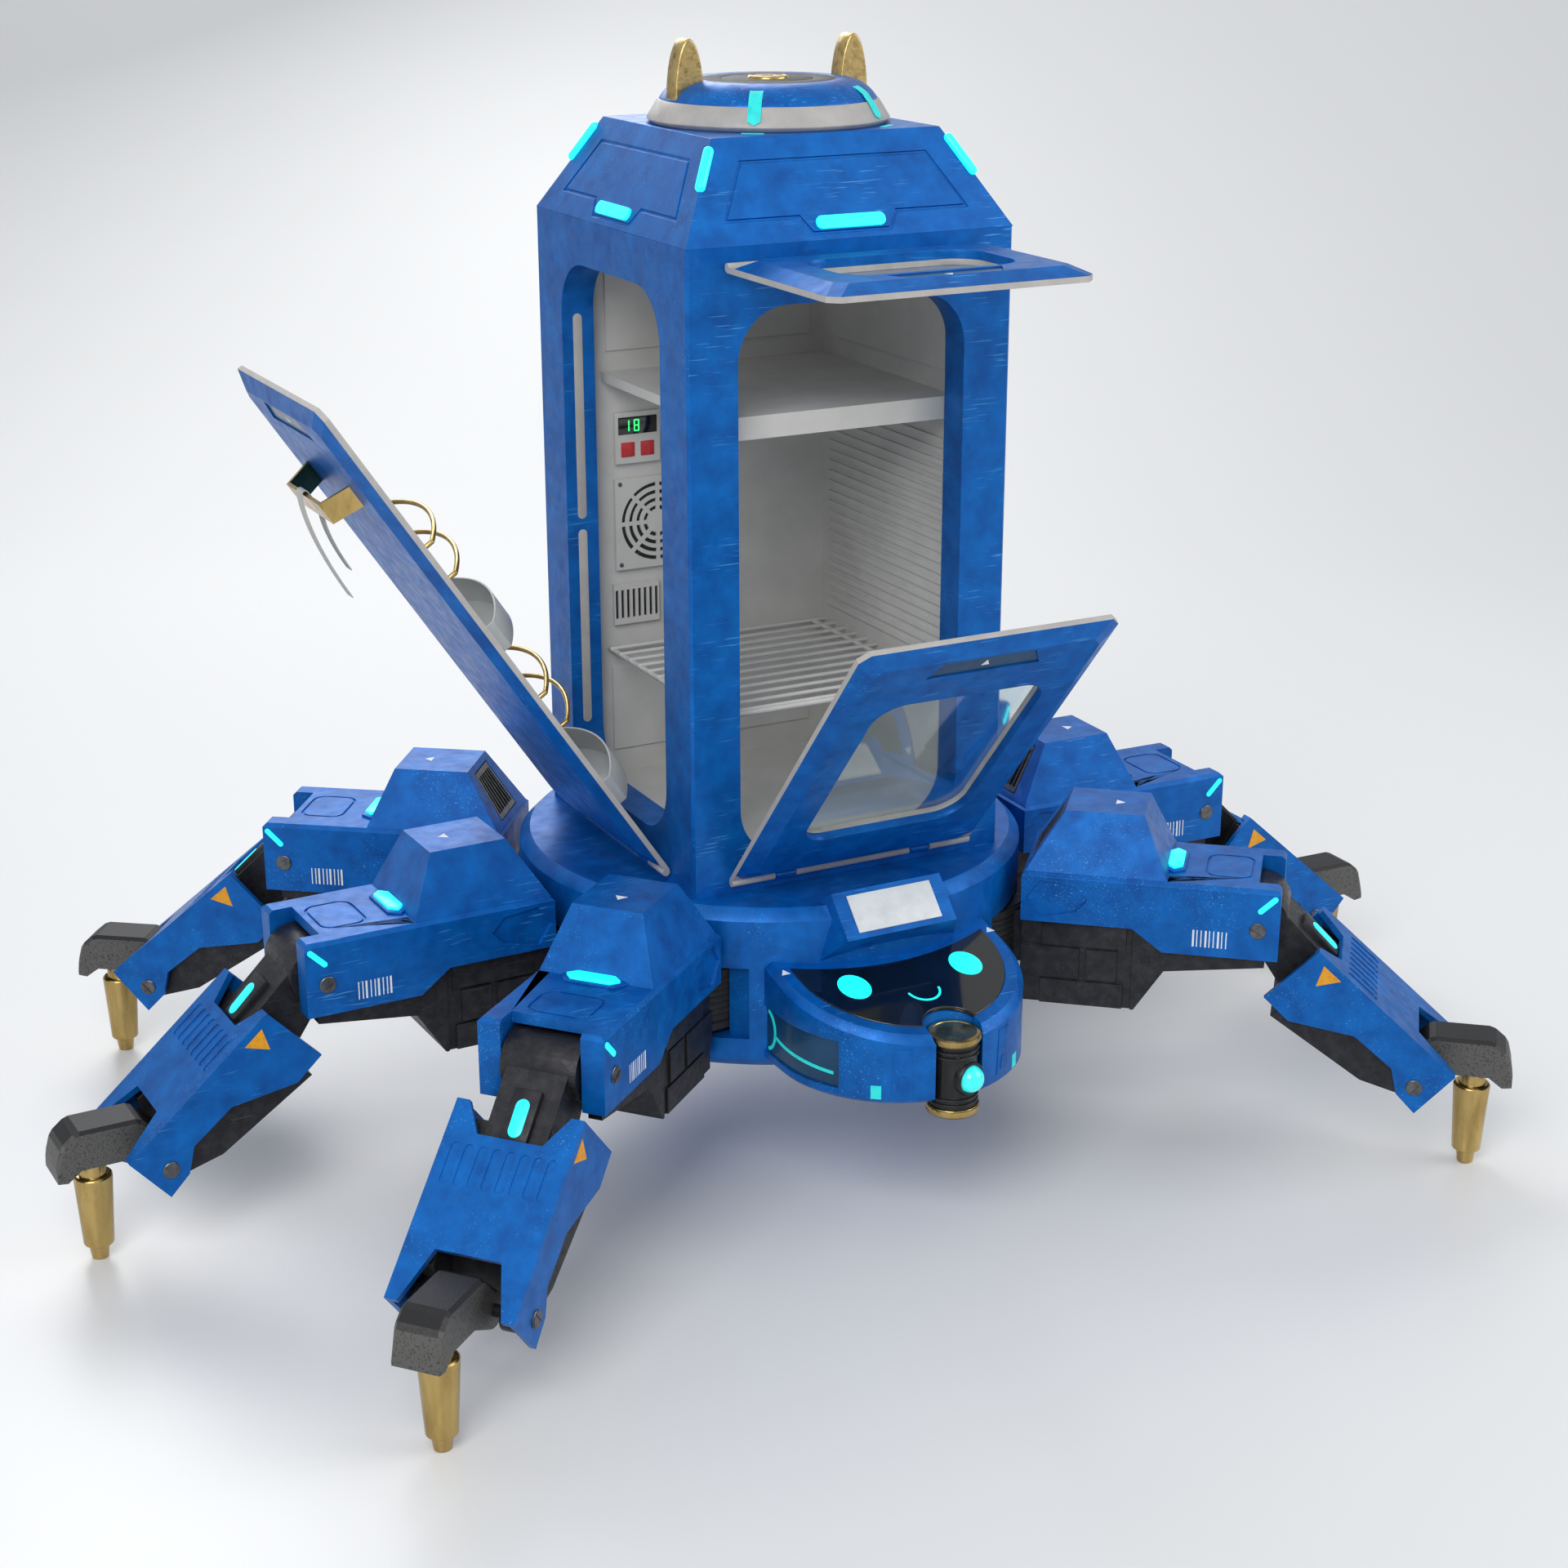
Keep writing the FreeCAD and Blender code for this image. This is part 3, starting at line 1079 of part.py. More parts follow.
def cast_relief():
    """List the cutters that leave the raised blocks on the frame's sides, and the recess under its belly."""
    low_r, high_r, low_z, high_z = CAST_FIELD
    field = box((THIGH_START_R + low_r, FRAME_HALF - CAST_RELIEF, FRAME_BOTTOM + low_z),
                (THIGH_START_R + high_r, FRAME_HALF + 1, FRAME_BOTTOM + high_z))
    blocks = []
    for low_r, high_r, low_z, high_z in CAST_BLOCKS:
        blocks.append(box((THIGH_START_R + low_r, FRAME_HALF - CAST_RELIEF - 1, FRAME_BOTTOM + low_z),
                          (THIGH_START_R + high_r, FRAME_HALF + 2, FRAME_BOTTOM + high_z)))
    right = field.cut(Part.makeCompound(blocks))
    low_r, high_r, half = BELLY_FIELD
    belly = box((THIGH_START_R + low_r, -half, FRAME_BOTTOM - 1),
                (THIGH_START_R + high_r, half, FRAME_BOTTOM + BELLY_RECESS))
    return [right, right.mirror(Vector(0, 0, 0), Y), belly]


def from_knee(places):
    """List (R, Z) points that are given from the knee pin's centre."""
    return [(KNEE_R + r, KNEE_Z + z) for r, z in places]


# Sides of the shin's pieces, in (R, Z) from the knee pin: the cover, the link, the beam and the fork's room
SHIN_PROFILE = from_knee([
    (90.0, -24.0), (15.0, -103.0), (52.0, -137.0), (148.0, -152.0),
    (204.0, -198.0), (213.0, -237.0), (241.0, -266.0), (295.0, -203.0),
])
LINK_PROFILE = from_knee([
    (28.0, 20.0), (91.0, -42.0), (123.0, -72.0), (93.0, -116.0), (45.0, -116.0), (-6.0, -40.0),
])
BEAM_PROFILE = from_knee([
    (91.0, -48.0), (240.0, -178.0), (223.0, -246.0), (160.0, -228.0), (25.0, -138.0), (55.0, -116.0),
])
FORK_ROOM = from_knee([
    (195.0, -78.0), (315.0, -178.0), (315.0, -318.0), (185.0, -318.0),
])

# The shin's top plate: its knee end, its length, and the directions along it and into the shin
SHIN_TOP_START = Vector(SHIN_PROFILE[0][0], 0, SHIN_PROFILE[0][1])
SHIN_TOP_END = Vector(SHIN_PROFILE[-1][0], 0, SHIN_PROFILE[-1][1])
SHIN_LENGTH = (SHIN_TOP_END - SHIN_TOP_START).Length
SHIN_ALONG = (SHIN_TOP_END - SHIN_TOP_START).normalize()
SHIN_INWARD = SHIN_ALONG.cross(Y) * -1
SHIN_ROOM = 200.0               # how far the cutters reach into the shin and beyond its ends


def on_shin(along, across, depth):
    """Give the point at a distance along the top plate, across it and into the shin."""
    return SHIN_TOP_START + SHIN_ALONG * along + Y * across + SHIN_INWARD * depth


def shin_block(outline, low, high):
    """Extrude an outline of (along, across) points between two depths into the shin."""
    wire = polygon([on_shin(along, across, low) for along, across in outline])
    return Part.Face(wire).extrude(SHIN_INWARD * (high - low))


def shin_oval(across):
    """Cutter of one oval recess on the top plate."""
    flat = rounded_rectangle((OVAL_END - OVAL_START) / 2, -OVAL_HALF_WIDTH, OVAL_HALF_WIDTH,
                             OVAL_HALF_WIDTH - 0.1).extrude(Vector(0, 0, OVAL_DEPTH + 1))
    turn = FreeCAD.Rotation(SHIN_ALONG, Y, SHIN_ALONG.cross(Y), "XYZ")
    flat.Placement = FreeCAD.Placement(on_shin((OVAL_START + OVAL_END) / 2, across, OVAL_DEPTH), turn)
    return flat


def shin_armour():
    """Painted cover of a shin: a sloped top plate with two deep sides, forked at both ends."""
    block = side_prism(SHIN_PROFILE, SHIN_HALF)
    inner = SHIN_HALF - SHIN_SHELL
    near, far = -SHIN_ROOM, SHIN_LENGTH + SHIN_ROOM
    room = shin_block([(near, -inner), (far, -inner), (far, inner), (near, inner)], SHIN_SHELL, SHIN_ROOM)
    cutters = [room]
    for base, mouth, beyond in ((SHIN_KNEE_FORK, 0, -SHIN_ROOM),
                                (SHIN_LENGTH - SHIN_ANKLE_FORK, SHIN_LENGTH, far)):
        half, wide = SHIN_FORK_HALF, SHIN_FORK_TIP_HALF
        cutters.append(shin_block([(base, -half), (mouth, -wide), (beyond, -wide),
                                   (beyond, wide), (mouth, wide), (base, half)], -1, SHIN_SHELL + 1))
    for i in range(OVAL_COUNT):
        cutters.append(shin_oval((i - (OVAL_COUNT - 1) / 2) * OVAL_PITCH))
    cutters.append(rod(ANKLE_PIN_RADIUS + RUNNING_CLEARANCE, (ANKLE_R, -2 * SHIN_HALF, ANKLE_Z),
                       (ANKLE_R, 2 * SHIN_HALF, ANKLE_Z)))
    for cutter in cutters:
        block = block.cut(cutter)
    return block


def shin_frame():
    """Dark frame of a shin: the knee drum, the link down from it and the beam to the ankle pin."""
    fork = SHIN_FORK_HALF + 4
    drum_part = rod(KNEE_DRUM_RADIUS, (KNEE_R, -KNEE_DRUM_HALF, KNEE_Z), (KNEE_R, KNEE_DRUM_HALF, KNEE_Z))
    link = side_prism(LINK_PROFILE, SHIN_FORK_HALF - 2)
    beam = side_prism(BEAM_PROFILE, SHIN_FRAME_HALF).cut(side_prism(FORK_ROOM, fork))
    solid = fuse([drum_part, link, beam])
    solid = solid.cut(knee_bore(KNEE_PIN_RADIUS + RUNNING_CLEARANCE))
    cheeks = [rod(22.0, (ANKLE_R, s * fork, ANKLE_Z), (ANKLE_R, s * SHIN_FRAME_HALF, ANKLE_Z))
              for s in (-1, 1)]
    pin = rod(ANKLE_PIN_RADIUS, (ANKLE_R, -SHIN_HALF, ANKLE_Z), (ANKLE_R, SHIN_HALF, ANKLE_Z))
    return fuse([solid, pin] + cheeks)


def foot_arm():
    """Hooked arm that turns on the ankle pin and carries the foot peg."""
    boss = rod(24.0, (ANKLE_R, -HOOK_HALF, ANKLE_Z), (ANKLE_R, HOOK_HALF, ANKLE_Z))
    reach, top = HOOK_REACH_R, HOOK_TOP
    arm = side_prism([
        (ANKLE_R - 20, ANKLE_Z + 14), (ANKLE_R + 22, top), (reach - 30, top), (reach - 8, top - 18),
        (reach, top - 46), (reach, top - 70), (reach - 14, top - 72), (reach - 34, PEG_NUT_TOP),
        (ANKLE_R + 52, PEG_NUT_TOP), (ANKLE_R + 14, ANKLE_Z - 20),
    ], HOOK_HALF)
    upper = [e for e in arm.Edges if all(abs(abs(v.Y) - HOOK_HALF) < 0.01 and v.Z > top - 47 for v in e.Vertexes)]
    arm = arm.makeChamfer(HOOK_CHAMFER, upper)
    solid = fuse([arm, boss])
    return solid.cut(rod(ANKLE_PIN_RADIUS + RUNNING_CLEARANCE, (ANKLE_R, -2 * HOOK_HALF, ANKLE_Z),
                         (ANKLE_R, 2 * HOOK_HALF, ANKLE_Z)))


def foot_peg():
    """Turned brass peg that the leg stands on."""
    section = polygon([
        Vector(0, 0, 0), Vector(PEG_TIP_RADIUS, 0, 0), Vector(PEG_NECK_RADIUS, 0, PEG_STEP),
        Vector(PEG_LOW_RADIUS - 2, 0, PEG_STEP), Vector(PEG_LOW_RADIUS, 0, PEG_STEP + 2),
        Vector(PEG_RADIUS, 0, PEG_TOP - 3), Vector(PEG_RADIUS - 3, 0, PEG_TOP),
        Vector(PEG_NUT_RADIUS, 0, PEG_TOP), Vector(PEG_NUT_RADIUS, 0, PEG_NUT_TOP), Vector(0, 0, PEG_NUT_TOP),
    ])
    peg = Part.Face(section).revolve(Vector(0, 0, 0), Z, 360)
    peg.translate(Vector(PEG_R, 0, 0))
    return peg


LEG_PIECES = {
    "thigh_armour": thigh_armour,
    "thigh_frame": thigh_frame,
    "shin_armour": shin_armour,
    "shin_frame": shin_frame,
    "foot_arm": foot_arm,
    "foot_peg": foot_peg,
}

BODY_PIECES = {
    "drum": drum,
    "head_shell": head_shell,
    "head_screen": head_screen,
    "head_sensor": sensor,
    "cabinet_shell": cabinet_shell,
    "cabinet_liner": cabinet_liner,
    "cabinet_shelves": shelves,
    "cabinet_fan_panel": fan_panel,
    "cabinet_roof": cabinet_roof,
    "roof_lamps": roof_lamps,
    "dome_ring": dome_ring,
    "dome": dome,
    "dome_fins": fins,
}


def door_pieces():
    """Make each door's pieces, open as the robot stands."""
    side, lower, flap = DOORS["side"], DOORS["lower"], DOORS["flap"]
    return {
        "side_door_skin": side.opened(door_skin(side)),
        "side_door_rim": side.opened(door_rim(side)),
        "side_door_trays": side.opened(side_door_trays()),
        "side_door_rails": side.opened(side_door_rails()),
        "lower_door_skin": lower.opened(door_skin(lower, LOWER_WINDOW)),
        "lower_door_rim": lower.opened(door_rim(lower, LOWER_WINDOW)),
        "lower_door_glass": lower.opened(door_glass(LOWER_WINDOW)),
        "upper_flap_skin": flap.opened(door_skin(flap, FLAP_WINDOW)),
        "upper_flap_rim": flap.opened(door_rim(flap, FLAP_WINDOW)),
        "upper_flap_glass": flap.opened(door_glass(FLAP_WINDOW)),
    }


def all_pieces():
    """Make every piece in its place round the drum's axis."""
    pieces = {name: make() for name, make in BODY_PIECES.items()}
    pieces.update(door_pieces())
    for piece, make in LEG_PIECES.items():
        shape = make()
        for name, side, angle in LEGS:
            pieces[name + "_" + piece] = turned_to(shape, side, angle)
    return pieces


def main():
    """Write each piece to its own STEP file."""
    os.makedirs("parts", exist_ok=True)
    for name, shape in all_pieces().items():
        shape.translate(Vector(0, DRUM_Y, 0))
        shape.exportStep("parts/" + name + ".step")
    print("drum axis at Y", round(DRUM_Y, 3))


main()
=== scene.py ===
"""Looks of a six-legged delivery robot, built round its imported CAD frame.

The robot has a cabinet with three doors on a round drum, a console for a head and six jointed legs. Sizes are
millimetres unless a name says otherwise, +Z is up and the front is towards -Y.
"""

import logging
import math
from collections.abc import Sequence
from dataclasses import dataclass, field
from enum import Enum
from typing import Any

import bmesh
import bpy
from mathutils import Matrix, Vector


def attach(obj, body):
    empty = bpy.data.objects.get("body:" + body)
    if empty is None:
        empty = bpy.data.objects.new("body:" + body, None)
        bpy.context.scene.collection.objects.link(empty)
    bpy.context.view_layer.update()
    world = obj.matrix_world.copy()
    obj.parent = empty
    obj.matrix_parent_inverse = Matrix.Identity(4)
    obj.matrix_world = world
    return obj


LOG = logging.getLogger("robot")
MM = 0.001
DRUM_AXIS_Y = 30.027
COAT_ROUGHNESS = 0.12
SCRATCH_SLENDERNESS = 28        # length of a scratch over its width
SAME_POINT = 0.01               # points closer than this are one

Point = Sequence[float]


class Side(Enum):
    """The robot's sides, with the sign of X on each."""

    LEFT = -1
    RIGHT = 1


def linear(hex_colour: str) -> tuple[float, float, float, float]:
    """Turn an sRGB hex colour into Blender's linear colour.

    Args:
        hex_colour: Six hex digits after a hash sign.

    Returns:
        Red, green and blue in linear light, with an alpha of 1.
    """
    channels = [int(hex_colour[i : i + 2], 16) / 255 for i in (1, 3, 5)]
    light = [c / 12.92 if c <= 0.04045 else ((c + 0.055) / 1.055) ** 2.4 for c in channels]
    return (light[0], light[1], light[2], 1.0)


def add_node(
    tree: bpy.types.NodeTree,
    kind: str,
    settings: dict[str | int, Any] | None = None,
    links: dict[str | int, bpy.types.NodeSocket] | None = None,
) -> bpy.types.Node:
    """Add one node to a material.

    Args:
        tree: The material's node tree.
        kind: The node's type, without the words ShaderNode.
        settings: Properties and input values by name, or input values by number.
        links: Output sockets to plug into inputs, by the input's name or number.

    Returns:
        The new node.
    """
    node = tree.nodes.new("ShaderNode" + kind)
    for name, value in (settings or {}).items():
        if isinstance(name, int) or name in node.inputs:
            node.inputs[name].default_value = value
        else:
            setattr(node, name, value)
    for name, socket in (links or {}).items():
        tree.links.new(socket, node.inputs[name])
    return node


def noise(
    tree: bpy.types.NodeTree, place: bpy.types.NodeSocket, scale: float, detail: float, roughness: float = 0.5
) -> bpy.types.NodeSocket:
    """Add a noise pattern.

    Args:
        tree: The material's node tree.
        place: Coordinates that it follows.
        scale: Patches to the metre.
        detail: Number of finer layers.
        roughness: Strength of the finer layers.

    Returns:
        The pattern, from 0 to 1.
    """
    settings = {"Scale": scale, "Detail": detail, "Roughness": roughness}
    return add_node(tree, "TexNoise", settings, {"Vector": place}).outputs[0]


def ramp(
    tree: bpy.types.NodeTree,
    value: bpy.types.NodeSocket,
    span: tuple[float, float],
    reach: tuple[float, float] = (0.0, 1.0),
) -> bpy.types.NodeSocket:
    """Stretch a value's span to another one and cut off what lies outside.

    Args:
        tree: The material's node tree.
        value: The value.
        span: Its low and high end.
        reach: What the two ends become.

    Returns:
        The new value.
    """
    settings = {"From Min": span[0], "From Max": span[1], "To Min": reach[0], "To Max": reach[1]}
    return add_node(tree, "MapRange", settings, {"Value": value}).outputs[0]


def stretched(
    tree: bpy.types.NodeTree,
    place: bpy.types.NodeSocket,
    scale: tuple[float, float, float],
    turn: float = 0.0,
) -> bpy.types.NodeSocket:
    """Stretch a pattern's coordinates and turn them about X, Y and Z by one angle.

    Args:
        tree: The material's node tree.
        place: The coordinates.
        scale: Scale along each axis.
        turn: The angle in degrees.

    Returns:
        The new coordinates.
    """
    settings = {"Scale": scale, "Rotation": (math.radians(turn),) * 3}
    return add_node(tree, "Mapping", settings, {"Vector": place}).outputs[0]


def painted(
    tree: bpy.types.NodeTree, share: bpy.types.NodeSocket, under: bpy.types.NodeSocket | str, over: str
) -> bpy.types.NodeSocket:
    """Lay one colour over another.

    Args:
        tree: The material's node tree.
        share: How much of the upper colour shows.
        under: The lower colour, from a node or as a hex colour.
        over: The upper colour.

    Returns:
        The mixed colour.
    """
    node = add_node(tree, "Mix", {"data_type": "RGBA", 7: linear(over)}, {0: share})
    if isinstance(under, str):
        node.inputs[6].default_value = linear(under)
    else:
        tree.links.new(under, node.inputs[6])
    return node.outputs[2]


@dataclass(frozen=True)
class Finish:
    """A surface: what it is made of and how it was made, with its detail in millimetres.

    The second colour lies over the first in patches of the grain's size, and covers the given share of it.
    """

    name: str
    colour: str
    second: str
    share: float = 0.5
    grain: float = 60.0
    stretch: tuple[float, float, float] = (1.0, 1.0, 1.0)
    soft_edge: float = 0.4
    metallic: float = 0.0
    roughness: float = 0.5
    roughness_spread: float = 0.1
    bump: float = 0.0
    bump_grain: float = 2.0
    scratches: float = 0.0
    scratch_colour: str = "#FFFFFF"
    scratch_length: float = 60.0
    coat: float = 0.0
    transmission: float = 0.0
    alpha: float = 1.0
    glow: float = 0.0
    ior: float = 1.5
    top_colour: str = ""

    def material(self) -> bpy.types.Material:
        """Give the finish's material, made on the first call.

        Returns:
            The material.
        """
        made = bpy.data.materials.get(self.name)
        if made:
            return made
        made = bpy.data.materials.new(self.name)
        made.use_nodes = True
        tree = made.node_tree
        tree.nodes.clear()
        seen = add_node(tree, "TexCoord").outputs
        settings = {
            "Metallic": self.metallic, "Coat Weight": self.coat, "Coat Roughness": COAT_ROUGHNESS,
            "Alpha": self.alpha, "Transmission Weight": self.transmission,
        }
        shader = add_node(tree, "BsdfPrincipled", settings)
        if self.metallic < 0.5:
            shader.inputs["IOR"].default_value = self.ior
        place = seen["Object"]
        grained = stretched(tree, place, self.stretch)
        middle, soft = 1 - self.share, self.soft_edge / 2
        mottle = noise(tree, grained, 1 / (self.grain * MM), 4.0, 0.6)
        patches = ramp(tree, mottle, (middle - soft, middle + soft))
        colour = painted(tree, patches, self.colour, self.second)
        rough = self._roughness(tree, place)
        if self.scratches:
            marks = self._scratches(tree, place)
            colour = painted(tree, marks, colour, self.scratch_colour)
            settings = {"operation": "MULTIPLY_ADD", 1: 0.3}
            rough = add_node(tree, "Math", settings, {0: marks, 2: rough}).outputs[0]
        if self.top_colour:
            height = add_node(tree, "SeparateXYZ", None, {0: seen["Normal"]}).outputs[2]
            colour = painted(tree, ramp(tree, height, (0.45, 0.6)), colour, self.top_colour)
        tree.links.new(colour, shader.inputs["Base Color"])
        tree.links.new(rough, shader.inputs["Roughness"])
        if self.bump:
            height = noise(tree, grained, 1 / (self.bump_grain * MM), 3.0)
            raised = add_node(tree, "Bump", {"Strength": 0.6, "Distance": self.bump * MM}, {"Height": height})
            tree.links.new(raised.outputs[0], shader.inputs["Normal"])
        if self.glow:
            shader.inputs["Emission Color"].default_value = linear(self.colour)
            shader.inputs["Emission Strength"].default_value = self.glow
        out = add_node(tree, "OutputMaterial")
        tree.links.new(shader.outputs[0], out.inputs["Surface"])
        return made

    def _roughness(self, tree: bpy.types.NodeTree, place: bpy.types.NodeSocket) -> bpy.types.NodeSocket:
        """Let the roughness wander round its value.

        Args:
            tree: The material's node tree.
            place: Object coordinates.

        Returns:
            The roughness.
        """
        spread = stretched(tree, place, self.stretch, 20.0)
        low, high = self.roughness - self.roughness_spread / 2, self.roughness + self.roughness_spread / 2
        return ramp(tree, noise(tree, spread, 2 / (self.grain * MM), 3.0), (0.3, 0.7), (max(low, 0.02), high))

    def _scratches(self, tree: bpy.types.NodeTree, place: bpy.types.NodeSocket) -> bpy.types.NodeSocket:
        """Draw fine scratches in two directions, gathered in worn patches.

        Args:
            tree: The material's node tree.
            place: Object coordinates.

        Returns:
            How much of the scratch colour shows.
        """
        length = 1 / (self.scratch_length * MM)
        fine = length * SCRATCH_SLENDERNESS
        lines = []
        for turn in (25.0, 70.0):
            drawn = stretched(tree, place, (length, fine, fine), turn)
            lines.append(ramp(tree, noise(tree, drawn, 1.0, 1.0), (0.69, 0.73)))
        both = add_node(tree, "Math", {"operation": "MAXIMUM"}, {0: lines[0], 1: lines[1]}).outputs[0]
        where = ramp(tree, noise(tree, place, length * 0.6, 2.0), (0.45, 0.65), (0.0, self.scratches))
        return add_node(tree, "Math", {"operation": "MULTIPLY"}, {0: both, 1: where}).outputs[0]


# Two-pack automotive enamel with metal flake over cast alloy: deep blue, mottled, with hairline scratches
BLUE_PAINT = Finish(
    "blue_flake_enamel", "#0069BE", "#004F9C", share=0.5, grain=38.0, metallic=0.3, roughness=0.4,
    roughness_spread=0.16, bump=0.15, bump_grain=3.0, scratches=0.7, scratch_colour="#63AEE6", ior=1.35,
)
# The same enamel, darkened to paint the shade in the sunk panels and the grip recesses
RECESS_SHADE_BLUE = Finish(
    "teal_enamel_painted_recess_shade", "#0B4A72", "#093C60", share=0.5, grain=40.0, metallic=0.3, roughness=0.4, bump=0.1,
    coat=0.3,
)
# Gravity-cast aluminium dyed black: fine pits and rubbed grey patches
CAST_FRAME = Finish(
    "black_cast_alloy", "#26262A", "#3B3B3F", share=0.4, grain=18.0, metallic=0.6, roughness=0.46,
    roughness_spread=0.2, bump=0.5, bump_grain=2.5, scratches=0.25, scratch_colour="#77777B",
)
# Sand-cast hook arms with a speckled grey skin
SPECKLED_CAST = Finish(
    "speckled_cast_alloy", "#5E5D5B", "#2C2C2E", share=0.4, grain=3.2, soft_edge=0.2, metallic=0.4,
    roughness=0.5, bump=0.5, bump_grain=3.0, top_colour="#1B1B1D",
)
# Turned free-cutting brass, drawn grain and a little tarnish
BRASS = Finish(
    "turned_brass", "#BFA468", "#8A7040", share=0.42, grain=30.0, stretch=(1.0, 1.0, 0.25), metallic=1.0,
    roughness=0.24, roughness_spread=0.16, bump=0.08, bump_grain=1.5,
)
# Injection-moulded ABS in light grey
LIGHT_TRIM = Finish(
    "light_grey_abs", "#B4B1AE", "#A5A29F", grain=30.0, roughness=0.45, bump=0.12, bump_grain=2.0,
)
# Vacuum-formed polystyrene lining of a fridge: satin and slightly warm
LINER = Finish(
    "fridge_liner_hips", "#C9C8C4", "#BDBCB8", grain=80.0, roughness=0.4, bump=0.05, bump_grain=6.0,
)
# Clear acrylic panes
PANE = Finish(
    "clear_acrylic", "#E8F4F8", "#DDEDF2", roughness=0.03, roughness_spread=0.0, transmission=1.0, alpha=1.0,
    ior=1.49,
)
# Black glass over a display
SCREEN_GLASS = Finish(
    "black_display_glass", "#050608", "#08090B", roughness=0.06, roughness_spread=0.03, coat=0.5, ior=1.52,
)
# Backlit polycarbonate
LAMP = Finish("teal_lamp_cover", "#19F0F0", "#19F0F0", roughness=0.35, glow=0.9, ior=1.58)
# Frosted polypropylene trays
TRAY = Finish(
    "frosted_polypropylene", "#D9DCDC", "#CFD3D3", roughness=0.35, transmission=0.35, bump=0.1,
    bump_grain=4.0, ior=1.49,
)
# Black enamel on the sensor's barrel, rubbed at its ribs; the same black is painted shade behind the louvre
# bars and in the grille and vent
BLACK_ENAMEL_AND_SHADE = Finish(
    "black_enamel_and_painted_shade", "#17181A", "#2B2B2D", share=0.35, grain=15.0, metallic=0.3, roughness=0.35, bump=0.3,
    bump_grain=2.0, scratches=0.3, scratch_colour="#8A8A88",
)


# Zinc-plated steel screw heads, wiped dark round the slot
STEEL = Finish(
    "plated_steel", "#6E6E70", "#39393B", share=0.4, grain=12.0, metallic=0.9, roughness=0.34, bump=0.2,
    bump_grain=2.0,
)
# The fins' brass, beaten and pitted
HAMMERED_BRASS = Finish(
    "beaten_brass", "#B9A06A", "#665232", share=0.36, grain=14.0, soft_edge=0.3, metallic=0.95,
    roughness=0.34, roughness_spread=0.2, bump=1.2, bump_grain=9.0,
)
# Screen-printed marks
WHITE_MARK = Finish("white_print", "#E4E9EC", "#C3CBD1", share=0.3, grain=6.0, roughness=0.5)
AMBER_MARK = Finish("amber_print", "#E8A016", "#B97A12", share=0.35, grain=8.0, roughness=0.45)
# Teal print with a painted glow, so that it reads bright
TEAL_PRINT_PAINTED_GLOW = Finish("teal_print_painted_glow", "#22D6D2", "#12A9B2", share=0.35, grain=20.0, roughness=0.4, glow=0.22)
# Moulded nitrile rubber
BLACK_RUBBER = Finish(
    "nitrile_rubber", "#1C1C1E", "#2C2C2F", share=0.4, grain=20.0, roughness=0.62, bump=0.3, bump_grain=2.5,
)
# Clear lens over a lit teal ring
LENS = Finish("teal_lens", "#2BE3DE", "#12B4C0", share=0.4, grain=16.0, roughness=0.08, glow=0.45, coat=0.8)
# Blank anodised plate
SIGN_PLATE = Finish("anodised_plate", "#D8DCDE", "#C2C8CC", share=0.4, grain=30.0, roughness=0.4, bump=0.1)
# Woven polyester webbing
WEBBING = Finish(
    "polyester_webbing", "#C9C9C6", "#9C9C99", share=0.45, grain=1.6, soft_edge=0.5, roughness=0.85, bump=0.5,
    bump_grain=1.4,
)
# Light-emitting digits, light bars and moulded buttons
GREEN_DIGITS = Finish("green_digits", "#36F27A", "#36F27A", roughness=0.4, glow=1.2)
WHITE_LIGHT = Finish("white_light_bar", "#F6F8FA", "#F6F8FA", roughness=0.4, glow=1.6)
RED_BUTTON = Finish("red_button", "#C3262A", "#A61F24", share=0.4, grain=8.0, roughness=0.35, coat=0.3)


class Piece:
    """Helpers that put a finished mesh into the scene."""

    @staticmethod
    def dress(node: str, finish: Finish, edge: float = 1.5) -> bpy.types.Object:
        """Give a CAD node its finish and ease its sharp edges.

        Args:
            node: Name of the CAD node.
            finish: Finish of the whole node.
            edge: Width of the eased edges.

        Returns:
            The node's object.
        """
        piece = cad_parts[node]
        piece.data.materials.clear()
        piece.data.materials.append(finish.material())
        weld = piece.modifiers.new("weld", "WELD")
        weld.merge_threshold = SAME_POINT * MM
        flat = piece.modifiers.new("flat_faces", "DECIMATE")
        flat.decimate_type = "DISSOLVE"
        flat.angle_limit = math.radians(0.5)
        bevel = piece.modifiers.new("eased_edges", "BEVEL")
        bevel.width = edge * MM
        bevel.segments = 2
        bevel.limit_method = "ANGLE"
        bevel.angle_limit = math.radians(28)
        bevel.harden_normals = True
        LOG.info("dressed %s in %s", node, finish.name)
        return piece


def stadium(start: tuple[float, float], end: tuple[float, float], radius: float) -> list[tuple[float, float]]:
    """List the outline of a bar with round ends.

    Args:
        start: Centre of the first round end.
        end: Centre of the other round end.
        radius: Half the bar's width.

    Returns:
        Points of the outline, in order.
    """
    heading = math.atan2(end[1] - start[1], end[0] - start[0])
    points = []
    for centre, first in ((end, heading - math.pi / 2), (start, heading + math.pi / 2)):
        for step in range(9):
            angle = first + math.pi * step / 8
            points.append((centre[0] + radius * math.cos(angle), centre[1] + radius * math.sin(angle)))
    return points


